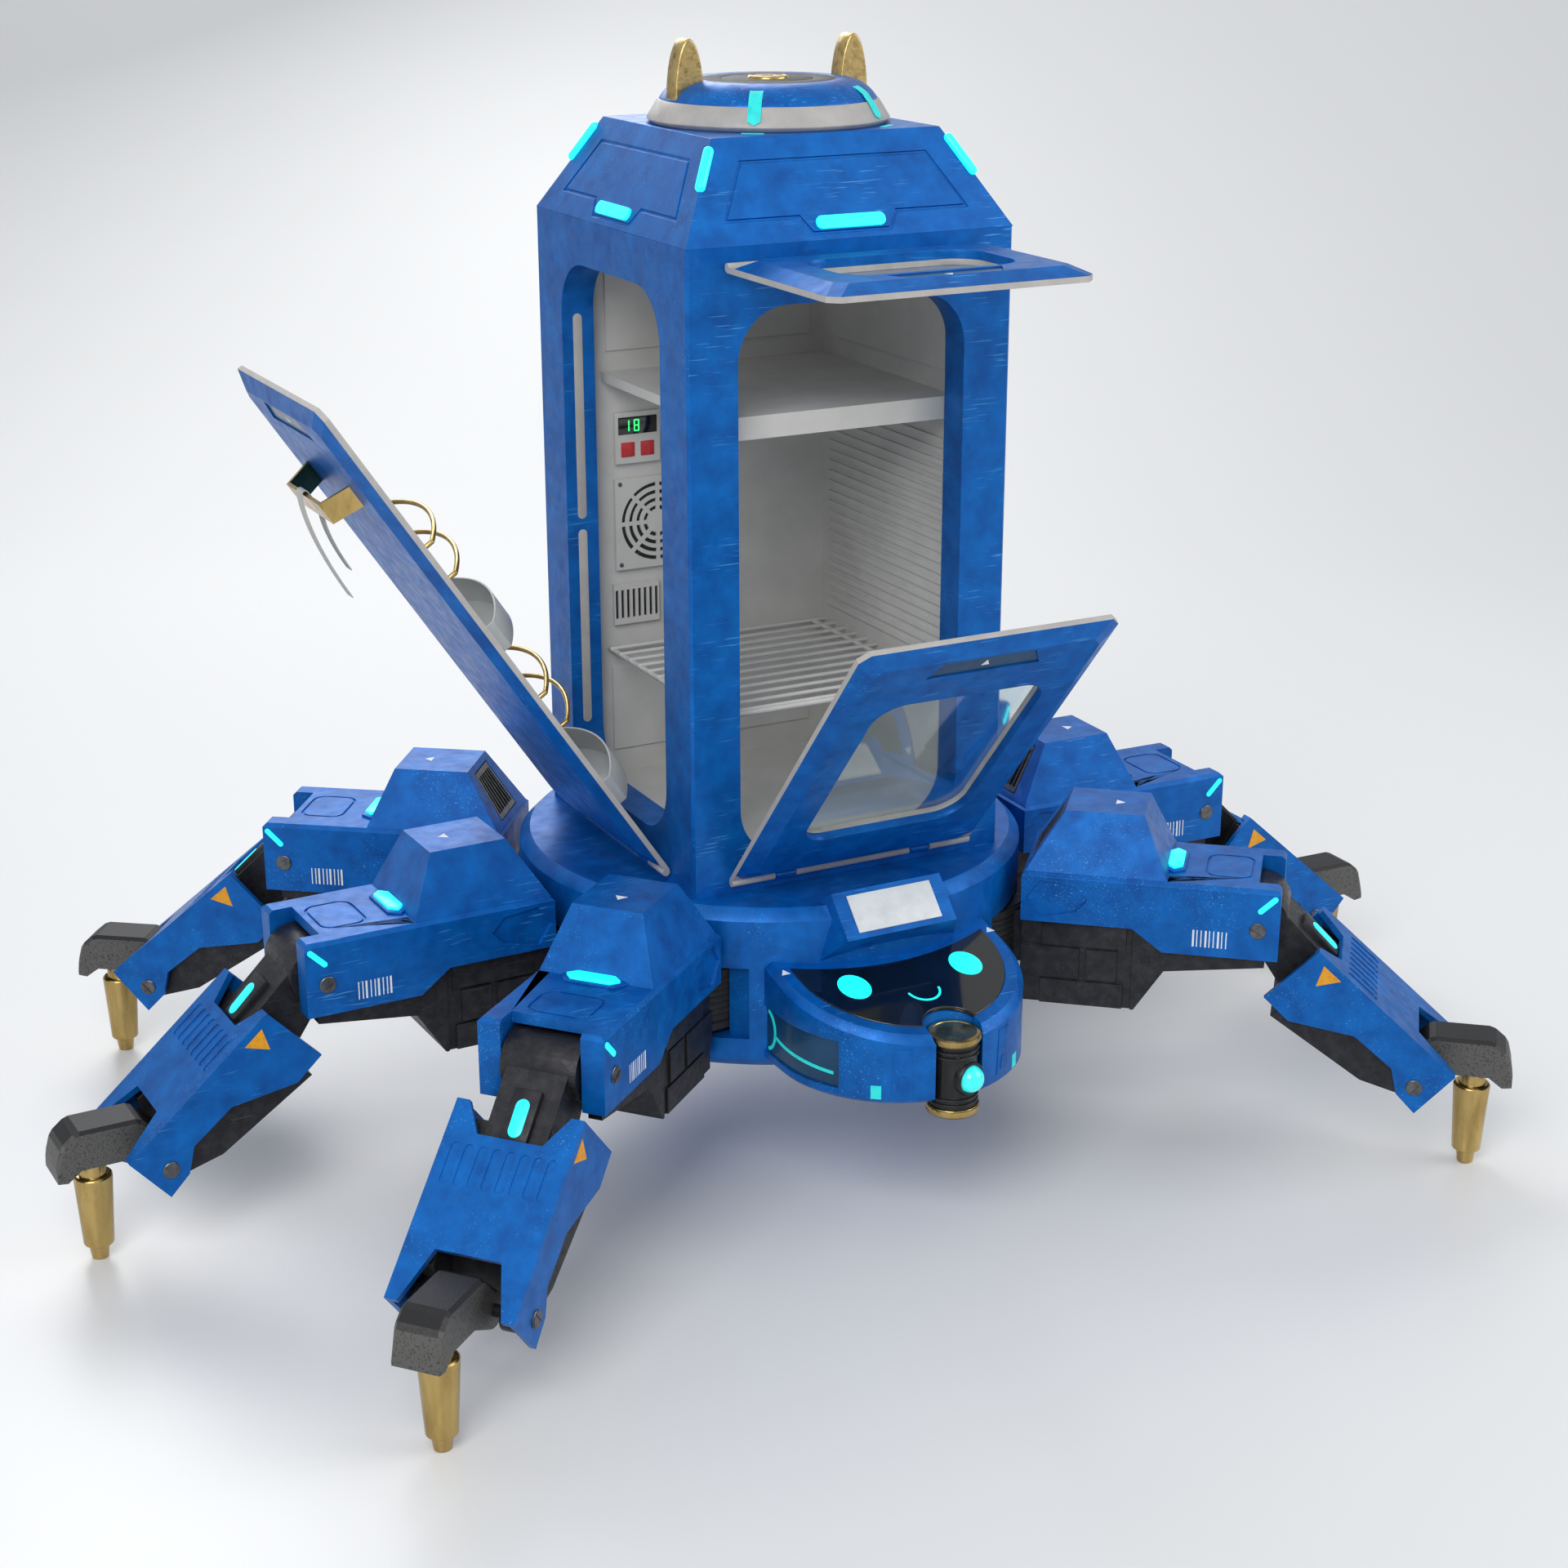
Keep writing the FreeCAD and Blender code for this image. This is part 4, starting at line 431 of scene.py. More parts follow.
class Form:
    """A mesh in the making, drawn in millimetres in the frame of what carries it."""

    def __init__(self) -> None:
        """Start with an empty mesh."""
        self.mesh = bmesh.new()

    def block(self, low: Point, high: Point) -> "Form":
        """Add a block.

        Args:
            low: Its corner with the lowest X, Y and Z.
            high: The opposite corner.

        Returns:
            The form itself.
        """
        middle = Vector([(a + b) / 2 for a, b in zip(low, high)])
        size = [b - a for a, b in zip(low, high)]
        place = Matrix.Translation(middle) @ Matrix.Diagonal((*size, 1))
        bmesh.ops.create_cube(self.mesh, size=1, matrix=place)
        return self

    def prism(self, outline: Sequence[Point], rise: Point) -> "Form":
        """Add a flat outline, extruded.

        Args:
            outline: Its points in space, in order.
            rise: How far it is extruded, and which way.

        Returns:
            The form itself.
        """
        face = self.mesh.faces.new([self.mesh.verts.new(point) for point in outline])
        made = bmesh.ops.extrude_face_region(self.mesh, geom=[face])
        moved = [part for part in made["geom"] if isinstance(part, bmesh.types.BMVert)]
        bmesh.ops.translate(self.mesh, vec=rise, verts=moved)
        return self

    def turned(
        self, profile: Sequence[tuple[float, float]], frame: Matrix | None = None, steps: int = 48
    ) -> "Form":
        """Spin a profile of (radius, height) points round the Z axis of a frame.

        Args:
            profile: Points from one end of the axis to the other.
            frame: Place and direction of the axis.
            steps: Number of facets round the axis.

        Returns:
            The form itself.
        """
        before = set(self.mesh.verts)
        ends = [self.mesh.verts.new((radius, 0, height)) for radius, height in profile]
        edges = [self.mesh.edges.new(pair) for pair in zip(ends, ends[1:])]
        bmesh.ops.spin(
            self.mesh, geom=ends + edges, cent=(0, 0, 0), axis=(0, 0, 1), dvec=(0, 0, 0), angle=2 * math.pi,
            steps=steps, use_merge=True, use_duplicate=False,
        )
        new = [vert for vert in self.mesh.verts if vert not in before]
        bmesh.ops.transform(self.mesh, matrix=frame or Matrix(), verts=new)
        return self

    def ribbon(self, left: Sequence[Vector], right: Sequence[Vector], thickness: float) -> "Form":
        """Add a strip between two rows of points, with its thickness raised off the surface.

        Args:
            left: Points along one edge.
            right: Points along the other edge, one for each of the first.
            thickness: How far the strip stands off.

        Returns:
            The form itself.
        """
        rings = []
        last = len(left) - 1
        for i, (a, b) in enumerate(zip(left, right)):
            ahead, behind = min(i + 1, last), max(i - 1, 0)
            along = left[ahead] + right[ahead] - left[behind] - right[behind]
            lift = along.cross(b - a).normalized() * thickness
            away = Vector((a.x, a.y, a.z * 0.2))
            lift *= 1.0 if lift.dot(away) > 0 else -1.0
            rings.append([self.mesh.verts.new(corner) for corner in (a, b, b + lift, a + lift)])
        for near, far in zip(rings, rings[1:]):
            for i in range(4):
                self.mesh.faces.new((near[i], near[(i + 1) % 4], far[(i + 1) % 4], far[i]))
        self.mesh.faces.new(rings[0])
        self.mesh.faces.new(rings[-1][::-1])
        return self

    def ball(self, radius: float, centre: Point) -> "Form":
        """Add a ball.

        Args:
            radius: Its radius.
            centre: Its centre.

        Returns:
            The form itself.
        """
        bmesh.ops.create_uvsphere(
            self.mesh, u_segments=32, v_segments=16, radius=radius, matrix=Matrix.Translation(Vector(centre))
        )
        return self

    def finish(
        self, name: str, finish: Finish, body: str, place: Matrix, edge: float = 0.0, slot: str = "blue_paint"
    ) -> bpy.types.Object:
        """Close the mesh, ease its edges and put it in the scene.

        Args:
            name: Name of the piece.
            finish: Its finish.
            body: Body that it rides on.
            place: Matrix from the carrier's millimetres to the scene's metres.
            edge: Width of the eased edges, or 0 for none.
            slot: Material slot of the record that it belongs to; not used.

        Returns:
            The new piece.
        """
        bmesh.ops.remove_doubles(self.mesh, verts=self.mesh.verts, dist=SAME_POINT)
        bmesh.ops.recalc_face_normals(self.mesh, faces=self.mesh.faces)
        if edge:
            sharp = [e for e in self.mesh.edges if e.is_manifold and e.calc_face_angle() > math.radians(30)]
            bmesh.ops.bevel(
                self.mesh, geom=sharp, affect="EDGES", offset=edge, offset_type="OFFSET", segments=2,
                profile=0.5, material=-1, clamp_overlap=True,
            )
        bmesh.ops.transform(self.mesh, matrix=place, verts=self.mesh.verts)
        data = bpy.data.meshes.new(name)
        self.mesh.to_mesh(data)
        self.mesh.free()
        for face in data.polygons:
            face.use_smooth = True
        data.set_sharp_from_angle(angle=math.radians(32))
        data.materials.append(finish.material())
        piece = bpy.data.objects.new(name, data)
        bpy.context.scene.collection.objects.link(piece)
        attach(piece, body)
        LOG.info("made %s in %s", name, finish.name)
        return piece


# From millimetres round the drum's axis to the scene's metres
AT_DRUM = Matrix.Translation((0, DRUM_AXIS_Y * MM, 0)) @ Matrix.Diagonal((MM, MM, MM, 1))


@dataclass
class Leg:
    """One leg, drawn along +X from the drum's axis: R outwards, Y across and Z up."""

    name: str
    side: Side
    angle: float
    half: float = 90.0
    deck: float = 441.0
    knee: tuple[float, float] = (745.0, 378.0)
    ankle: tuple[float, float] = (983.0, 153.0)
    hip_r: float = 305.0
    screw_radius: float = 12.0
    lamp_r: float = 617.0
    hump_top: float = 528.0
    stripe_start: float = 652.0
    stripe_count: int = 9
    stripe_pitch: float = 6.0
    hump_foot: tuple[float, float] = (403.0, 441.0)
    hump_head: tuple[float, float] = (457.0, 528.0)
    louvre_bars: int = 8
    link: tuple[tuple[float, float], tuple[float, float]] = ((812.0, 372.0), (862.0, 322.0))
    shin: tuple[tuple[float, float], tuple[float, float]] = ((835.0, 354.0), (1040.0, 175.0))
    boot_radius: float = 90.6
    boot_low: float = 287.0
    boot_ribs: int = 7
    boot_pitch: float = 9.4

    @property
    def place(self) -> Matrix:
        """Give the leg's place.

        Returns:
            The matrix from the leg's own frame to the scene.
        """
        return AT_DRUM @ Matrix.Rotation(math.radians(270 + self.side.value * self.angle), 4, "Z")

    def body(self, part: str) -> str:
        """Name one of the leg's bodies or pieces.

        Args:
            part: Name of the part.

        Returns:
            The name with the leg's own in front.
        """
        return self.name + "_" + part

    def build(self) -> None:
        """Dress the CAD nodes and add the trim."""
        Piece.dress(self.name + "_thigh_armour", BLUE_PAINT, 2.0)
        Piece.dress(self.name + "_thigh_frame", CAST_FRAME, 1.2)
        Piece.dress(self.name + "_shin_armour", BLUE_PAINT, 1.5)
        Piece.dress(self.name + "_shin_frame", CAST_FRAME, 2.0)
        Piece.dress(self.name + "_foot_arm", SPECKLED_CAST, 3.0)
        Piece.dress(self.name + "_foot_peg", BRASS, 0.8)
        self._screws()
        self._thigh_lamps()
        self._thigh_marks()
        self._louvre()
        self._link_pad()
        self._shin_marks()
        self._boot()

    def _screw(self, form: Form, centre: tuple[float, float], side: int, tilt: float) -> None:
        """Add a screw head with a slot on one side of the leg.

        Args:
            form: The form to add it to.
            centre: Its R and Z.
            side: The sign of Y on that side.
            tilt: Turn of the slot in degrees.
        """
        turn = Matrix.Rotation(math.radians(-90 * side), 4, "X")
        frame = Matrix.Translation((centre[0], side * (self.half - 1), centre[1])) @ turn
        radius = self.screw_radius
        form.turned([(0, 0), (radius, 0), (radius, 2.4), (radius - 1, 3.2), (0, 3.2)], frame, 32)
        slot_turn = Matrix.Rotation(math.radians(tilt), 4, "Z")
        for face in (-1, 1):
            reach = face * (radius - 1.2)
            arc = [math.radians(14 + 152 * step / 10) for step in range(11)]
            half_disc = [Vector((reach * math.cos(a), reach * math.sin(a), 3.0)) for a in arc]
            form.prism([frame @ slot_turn @ point for point in half_disc], (0, side * 1.4, 0))

    def _screws(self) -> None:
        """Set the slotted heads of the knee pin and the ankle pin."""
        knee, ankle = Form(), Form()
        for side in (-1, 1):
            self._screw(knee, self.knee, side, 30.0 * side)
            self._screw(ankle, self.ankle, side, -50.0 * side)
        knee.finish(self.body("knee_screws"), STEEL, self.body("thigh"), self.place, slot="cast_frame")
        ankle.finish(self.body("ankle_screws"), STEEL, self.body("shin"), self.place, slot="cast_frame")

    def _thigh_lamps(self) -> None:
        """Set the six-sided lamp at the foot of the hump and the small bar lamps on the ears."""
        r, top = self.lamp_r, self.deck
        seat = [(r - 16, -34), (r, -48), (r + 17, -36), (r + 17, 36), (r, 48), (r - 16, 34)]
        base = Form().prism([(x, y, top - 1) for x, y in seat], (0, 0, 5))
        base.finish(self.body("lamp_seat"), BLUE_PAINT, self.body("thigh"), self.place, 1.5)
        lens = [(r - 11, -27), (r + 1, -40), (r + 13, -29), (r + 13, 29), (r + 1, 40), (r - 11, 27)]
        lamp = Form().prism([(x, y, top + 3) for x, y in lens], (0, 0, 5))
        lamp.finish(self.body("hump_lamp"), LAMP, self.body("thigh"), self.place, 1.6, "lamp")
        ears = Form()
        for side in (-1, 1):
            outline = stadium((748.0, 409.0), (768.0, 429.0), 4.0)
            ears.prism([(x, side * (self.half - 0.6), z) for x, z in outline], (0, side * 2.4, 0))
        ears.finish(self.body("ear_lamps"), LAMP, self.body("thigh"), self.place, 0.8, "lamp")

    def _thigh_marks(self) -> None:
        """Paint the plain stripes on the thigh's sides and the small triangle on the hump."""
        stripes = Form()
        for side in (-1, 1):
            for i in range(self.stripe_count):
                x = self.stripe_start + i * self.stripe_pitch
                wide = 1.6 if i % 3 else 2.8
                low, high = side * (self.half - 0.2), side * (self.half + 0.25)
                stripes.block((x, min(low, high), 346.0), (x + wide, max(low, high), 372.0))
        triangle = [(526.0, -9.0), (539.0, 0.0), (526.0, 9.0)]
        stripes.prism([(x, y, self.hump_top - 0.2) for x, y in triangle], (0, 0, 0.5))
        stripes.finish(self.body("thigh_marks"), WHITE_MARK, self.body("thigh"), self.place)

    def _louvre(self) -> None:
        """Fit the framed louvre on the slope of the hump that faces the body, with a dark sheet of painted
        shade behind its bars.
        """
        foot = Vector((self.hump_foot[0], 0, self.hump_foot[1]))
        slope = Vector((self.hump_head[0], 0, self.hump_head[1])) - foot
        outward = Vector((-slope.z, 0, slope.x)).normalized()
        floor = foot - outward * 3.9

        def half(share: float) -> float:
            """Give half the recess's width.

            Args:
                share: Height on the slope, as a share of it.

            Returns:
                The half width.
            """
            return 44.0 - (share - 0.08) / 0.82 * 11.0

        def plate(
            form: Form, low: tuple[float, float, float], high: tuple[float, float, float], rise: float
        ) -> None:
            """Add a flat plate on the recess's floor.

            Args:
                form: The form to add it to.
                low: Share of the slope, then left and right edge, at its foot.
                high: The same at its head.
                rise: Its thickness.
            """
            ends = ((low[0], low[1]), (low[0], low[2]), (high[0], high[2]), (high[0], high[1]))
            form.prism([floor + slope * share + Vector((0, y, 0)) for share, y in ends], outward * rise)

        # The dark sheet on the recess floor is painted shade for the depth behind the bars.
        dark, frame = Form(), Form()
        sheets = ((dark, 0.1, 0.88, 0.8), (frame, 0.1, 0.18, 3.4), (frame, 0.8, 0.88, 3.4))
        for form, low, high, rise in sheets:
            plate(form, (low, 2 - half(low), half(low) - 2), (high, 2 - half(high), half(high) - 2), rise)
        last = self.louvre_bars - 1
        for i in range(self.louvre_bars):
            wide = 5.0 if i in (0, last) else 2.2
            share = (-1 + 2 * i / last) * (1.0 - wide / 88.0)
            low, high = share * (half(0.1) - 2.5), share * (half(0.88) - 2.5)
            plate(frame, (0.1, low - wide / 2, low + wide / 2), (0.88, high - wide / 2, high + wide / 2), 3.2)
        dark.finish(self.body("louvre_painted_shade"), BLACK_ENAMEL_AND_SHADE, self.body("thigh"), self.place, slot="cast_frame")
        frame.finish(self.body("louvre_frame"), STEEL, self.body("thigh"), self.place, slot="light_trim")

    def _link_pad(self) -> None:
        """Raise the pad with its bar lamp on top of the link below the knee."""
        start, end = (Vector((r, 0, z)) for r, z in self.link)
        along = (end - start).normalized()
        inward = Vector((along.z, 0, -along.x))
        half = Vector((0, 20, 0))
        pad = Form().prism([start - half, start + half, end + half, end - half], inward * 24)
        pad.finish(self.body("link_pad"), CAST_FRAME, self.body("shin"), self.place, 3.0, "cast_frame")
        bar = stadium((24.0, 0.0), (57.0, 0.0), 9.5)
        seat = start - inward * 1.2
        lamp = Form().prism([seat + along * a + Vector((0, y, 0)) for a, y in bar], inward * 2.5)
        lamp.finish(self.body("link_lamp"), LAMP, self.body("shin"), self.place, 0.8, "lamp")

    def _shin_marks(self) -> None:
        """Paint the plain amber triangle on both sides of the shin."""
        start, end = (Vector((r, 0, z)) for r, z in self.shin)
        along = (end - start).normalized()
        inward = Vector((along.z, 0, -along.x))
        marks = Form()
        for side in (-1, 1):
            lift = Vector((0, side * (self.half - 0.2), 0))
            triangle = ((20.0, 11.0), (54.0, 11.0), (34.0, 42.0))
            marks.prism([start + along * a + inward * i + lift for a, i in triangle], (0, side * 0.6, 0))
        marks.finish(self.body("shin_marks"), AMBER_MARK, self.body("shin"), self.place)

    def _boot(self) -> None:
        """Wrap the hip barrel in its ribbed boot between two milled rings."""
        frame = Matrix.Translation((self.hip_r, 0, 0))
        profile = [(89.0, 275.0), (93.0, 275.0), (93.0, 285.0), (90.5, 286.0)]
        inner, outer = self.boot_radius, self.boot_radius + 2.0
        for i in range(self.boot_ribs):
            low = self.boot_low + i * self.boot_pitch
            profile += [(inner, low), (outer, low + 2.4), (outer, low + 6.4), (inner, low + 8.8)]
        profile += [(90.5, 354.0), (93.0, 355.0), (93.0, 365.0), (89.0, 365.0)]
        boot = Form().turned(profile, frame, 72)
        boot.finish(self.body("hip_boot"), BLACK_RUBBER, self.body("thigh"), self.place, slot="cast_frame")


@dataclass
class Legs:
    """Six legs: each has a thigh, a shin and a hooked foot arm with its peg."""

    angles: tuple[tuple[str, float], ...] = (("front", 49.6), ("middle", 88.6), ("rear", 126.4))

    def build(self) -> None:
        """Build every leg."""
        for side in Side:
            for row, angle in self.angles:
                Leg(side.name.lower() + "_" + row, side, angle).build()


@dataclass
class Head:
    """Console in front of the drum: its display, side panels and upright sensor barrel."""

    radius: float = 182.0
    centre_y: float = -385.0
    front_top: float = 330.0
    slope: float = 0.246
    panel_radius: float = 178.2
    panel_back_y: float = -337.0
    panel_front: float = 55.0
    panel_low: float = 250.6
    panel_high: float = 319.4
    sensor_y: float = -548.0
    lens_turn: float = 14.0

    def build(self) -> None:
        """Dress the CAD nodes and add the trim."""
        Piece.dress("head_shell", BLUE_PAINT, 1.2)
        Piece.dress("head_screen", SCREEN_GLASS, 0.8)
        Piece.dress("head_sensor", BLACK_ENAMEL_AND_SHADE, 1.0)
        self._display()
        self._side_panels()
        self._front_marks()
        self._sensor()

    def _top(self, x: float, y: float, lift: float) -> Vector:
        """Give a point on the sloped top, raised by lift."""
        return Vector((x, y, self.front_top + self.slope * (self.radius - self.centre_y + y) + lift))

    def _ring_outline(self, centre: tuple[float, float], size: tuple[float, float], first: float, last: float,
                      steps: int) -> list[tuple[float, float]]:
        """List points of an ellipse between two angles in degrees."""
        points = []
        for step in range(steps + 1):
            angle = math.radians(first + (last - first) * step / steps)
            points.append((centre[0] + size[0] * math.cos(angle), centre[1] + size[1] * math.sin(angle)))
        return points

    def _display(self) -> None:
        """Light two plain ovals and a short arc on the screen, and paint the triangles beside it."""
        shown = Form()
        for x in (-90.0, 90.0):
            oval = self._ring_outline((x, -429.0), (23.0, 27.0), 0.0, 345.0, 23)
            shown.prism([self._top(px, py, 1.4) for px, py in oval], (0, 0, 0.7))
        outer = self._ring_outline((0.0, -463.0), (25.5, 25.5), 185.0, 355.0, 20)
        inner = self._ring_outline((0.0, -463.0), (22.5, 22.5), 355.0, 185.0, 20)
        shown.prism([self._top(px, py, 1.4) for px, py in outer + inner], (0, 0, 0.7))
        shown.finish("display_shapes", LAMP, "root", AT_DRUM, slot="lamp")
        marks = Form()
        for x in (-167.0, 167.0):
            corners = [(x - 6.5, -372.0), (x + 6.5, -372.0), (x, -361.0)]
            marks.prism([self._top(px, py, -0.2) for px, py in corners], (0, 0, 0.6))
        marks.finish("head_marks", WHITE_MARK, "root", AT_DRUM)

    def _side(self, side: int, run: float, z: float, lift: float) -> Vector:
        """Give a point on a side panel, at a run from its end beside the drum."""
        radius = self.panel_radius + lift
        straight = self.panel_back_y - self.centre_y
        if run <= straight:
            return Vector((side * radius, self.panel_back_y - run, z))
        angle = (run - straight) / self.panel_radius
        return Vector((side * radius * math.cos(angle), self.centre_y - radius * math.sin(angle), z))

    def _side_panels(self) -> None:
        """Lay a dark sheet of painted shade in the sunk panel on each side, with its teal bow and line."""
        panels, lines = Form(), Form()
        full = self.panel_back_y - self.centre_y + math.radians(90 - self.panel_front) * self.panel_radius
        for side in (-1, 1):
            runs = [full * step / 16 for step in range(17)]
            panels.ribbon([self._side(side, run, self.panel_low, 0.0) for run in runs],
                          [self._side(side, run, self.panel_high, 0.0) for run in runs], 0.6)
            bow = self._ring_outline((0.0, 285.0), (27.0, 32.0), -78.0, 78.0, 20)
            thin = self._ring_outline((0.0, 285.0), (22.0, 27.0), -78.0, 78.0, 20)
            lines.ribbon([self._side(side, run, z, 0.6) for run, z in bow],
                         [self._side(side, run, z, 0.6) for run, z in thin], 0.9)
            steps = [step / 10 for step in range(11)]
            tail = [(26.0 + (full - 34.0) * step, 281.0 - 11.0 * step**0.6) for step in steps]
            lines.ribbon([self._side(side, run, z + 2.4, 0.6) for run, z in tail],
                         [self._side(side, run, z - 2.4, 0.6) for run, z in tail], 0.9)
        panels.finish("head_side_panel_shade", RECESS_SHADE_BLUE, "root", AT_DRUM)
        lines.finish("head_teal_lines", TEAL_PRINT_PAINTED_GLOW, "root", AT_DRUM, slot="lamp")

    def _front_marks(self) -> None:
        """Paint the teal marks low on the front and raise the small plate beside each."""
        marks, plates = Form(), Form()
        radius = self.radius
        for side in (-1, 1):
            def on_front(angle: float, z: float, lift: float = 0.0) -> Vector:
                """Give a point on the front.

                Args:
                    angle: Degrees round the head from its front.
                    z: Height.
                    lift: Distance outside the shell.

                Returns:
                    The point.
                """
                turn = math.radians(angle)
                return Vector((side * (radius + lift) * math.sin(turn),
                               self.centre_y - (radius + lift) * math.cos(turn), z))

            angles = [35.4 + 1.15 * step for step in range(5)]
            marks.ribbon([on_front(a, 242.0) for a in angles], [on_front(a, 262.0) for a in angles], 0.5)
            for low, high, inset in ((249.0, 317.0, 0.0), (256.0, 276.0, 2.2)):
                foot = [21.5 + inset + (9.5 - 2 * inset) * step / 6 for step in range(7)]
                head = [22.6 + inset + (7.3 - 2 * inset) * step / 6 for step in range(7)]
                plates.ribbon([on_front(a, low, inset * 0.4) for a in foot],
                              [on_front(a, high, inset * 0.4) for a in head], 1.0)
        marks.finish("head_low_marks", TEAL_PRINT_PAINTED_GLOW, "root", AT_DRUM, slot="lamp")
        plates.finish("head_plates", BLUE_PAINT, "root", AT_DRUM, 0.4)

    def _sensor(self) -> None:
        """Cap the barrel in brass, rib it and fit its round lens."""
        axis = Matrix.Translation((0, self.sensor_y, 0))
        caps = Form()
        caps.turned([(0, 211.0), (33.0, 211.0), (36.6, 212.0), (38.0, 214.5), (38.0, 219.5), (36.0, 223.0),
                     (32.8, 223.6)], axis)
        caps.turned([(32.8, 316.4), (36.0, 317.0), (38.0, 320.5), (38.0, 325.0), (36.4, 328.2), (33.0, 329.2),
                     (31.0, 329.2), (30.0, 328.2), (0, 328.2)], axis)
        caps.finish("sensor_caps", BRASS, "root", AT_DRUM, slot="brass")
        ribs = Form()
        for low in (227.0, 235.0, 297.0, 305.0):
            bulge = ((32.6, 0.0), (35.0, 0.8), (35.6, 2.5), (35.0, 4.2), (32.6, 5.0))
            ribs.turned([(radius, low + rise) for radius, rise in bulge], axis)
        ribs.finish("sensor_ribs", BLACK_ENAMEL_AND_SHADE, "root", AT_DRUM, slot="sensor")
        turn = math.radians(self.lens_turn)
        heading = Vector((math.sin(turn), -math.cos(turn), 0))
        place = Vector((0, self.sensor_y, 268.0)) + heading * 33.0
        lens = Form().ball(19.4, place)
        lens.finish("sensor_lens", LENS, "root", AT_DRUM, slot="lamp")
        frame = Matrix.Translation(place) @ heading.to_track_quat("Z", "X").to_matrix().to_4x4()
        edge = [(19.5, -6.0), (24.5, -6.0), (24.5, 0.0), (23.0, 2.5), (20.5, 3.0), (19.6, 1.0)]
        bezel = Form().turned(edge, frame)
        bezel.finish("sensor_bezel", BLACK_ENAMEL_AND_SHADE, "root", AT_DRUM, slot="sensor")


@dataclass
class Roof:
    """Sloped roof with its lamps, and the ringed dome with two fins."""

    arrow_angles: tuple[float, ...] = (-34.0, 37.0)
    arrow_half: float = 9.0

    def build(self) -> None:
        """Dress the CAD nodes and add the trim."""
        Piece.dress("cabinet_roof", BLUE_PAINT, 1.5)
        Piece.dress("roof_lamps", LAMP, 1.0)
        Piece.dress("dome_ring", LIGHT_TRIM, 1.0)
        Piece.dress("dome", BLUE_PAINT, 1.0)
        Piece.dress("dome_fins", HAMMERED_BRASS, 1.0)
        self._arrows()
        self._disc()

    def _arrows(self) -> None:
        """Paint the teal arrows that run from the dome's edge down over its ring."""
        lines = Form()
        path = ((169.0, 1506.5, 0.6), (166.4, 1510.8, 9.0), (155.2, 1529.0, 9.0), (152.6, 1531.4, 9.0),
                (146.5, 1539.4, 9.0), (138.0, 1545.3, 9.0), (126.0, 1550.2, 9.0), (113.0, 1553.6, 9.0))
        for angle in self.arrow_angles:
            turn = Matrix.Rotation(math.radians(angle), 4, "Z")
            left = [turn @ Vector((-half, -radius - 0.3, z)) for radius, z, half in path]
            right = [turn @ Vector((half, -radius - 0.3, z)) for radius, z, half in path]
            lines.ribbon(left, right, 0.8)
            corners = [(-15.0, -183.5), (15.0, -183.5), (15.0, -176.0), (-15.0, -176.0)]
            foot = [turn @ Vector((x, y, 1496.8)) for x, y in corners]
            lines.prism(foot, (0, 0, 1.0))
        lines.finish("dome_arrows", TEAL_PRINT_PAINTED_GLOW, "root", AT_DRUM, slot="lamp")

    def _disc(self) -> None:
        """Lay the black disc with its rings and the brass button on top of the dome."""
        disc = Form().turned([(0, 1555.6), (62.0, 1555.6), (64.0, 1554.9), (66.0, 1555.6), (92.0, 1555.6),
                              (96.5, 1554.6), (96.5, 1553.0), (0, 1553.0)])
        disc.finish("dome_disc", BLACK_RUBBER, "root", AT_DRUM, slot="sensor")
        profile = [
            (0, 1557.6), (9.0, 1557.6), (10.0, 1558.6), (20.0, 1558.6), (21.5, 1557.4), (23.0, 1557.4),
            (24.5, 1559.0), (27.5, 1558.8), (29.0, 1557.0), (29.4, 1554.6), (0, 1554.6),
        ]
        button = Form().turned(profile)
        button.finish("dome_button", BRASS, "root", AT_DRUM, slot="brass")


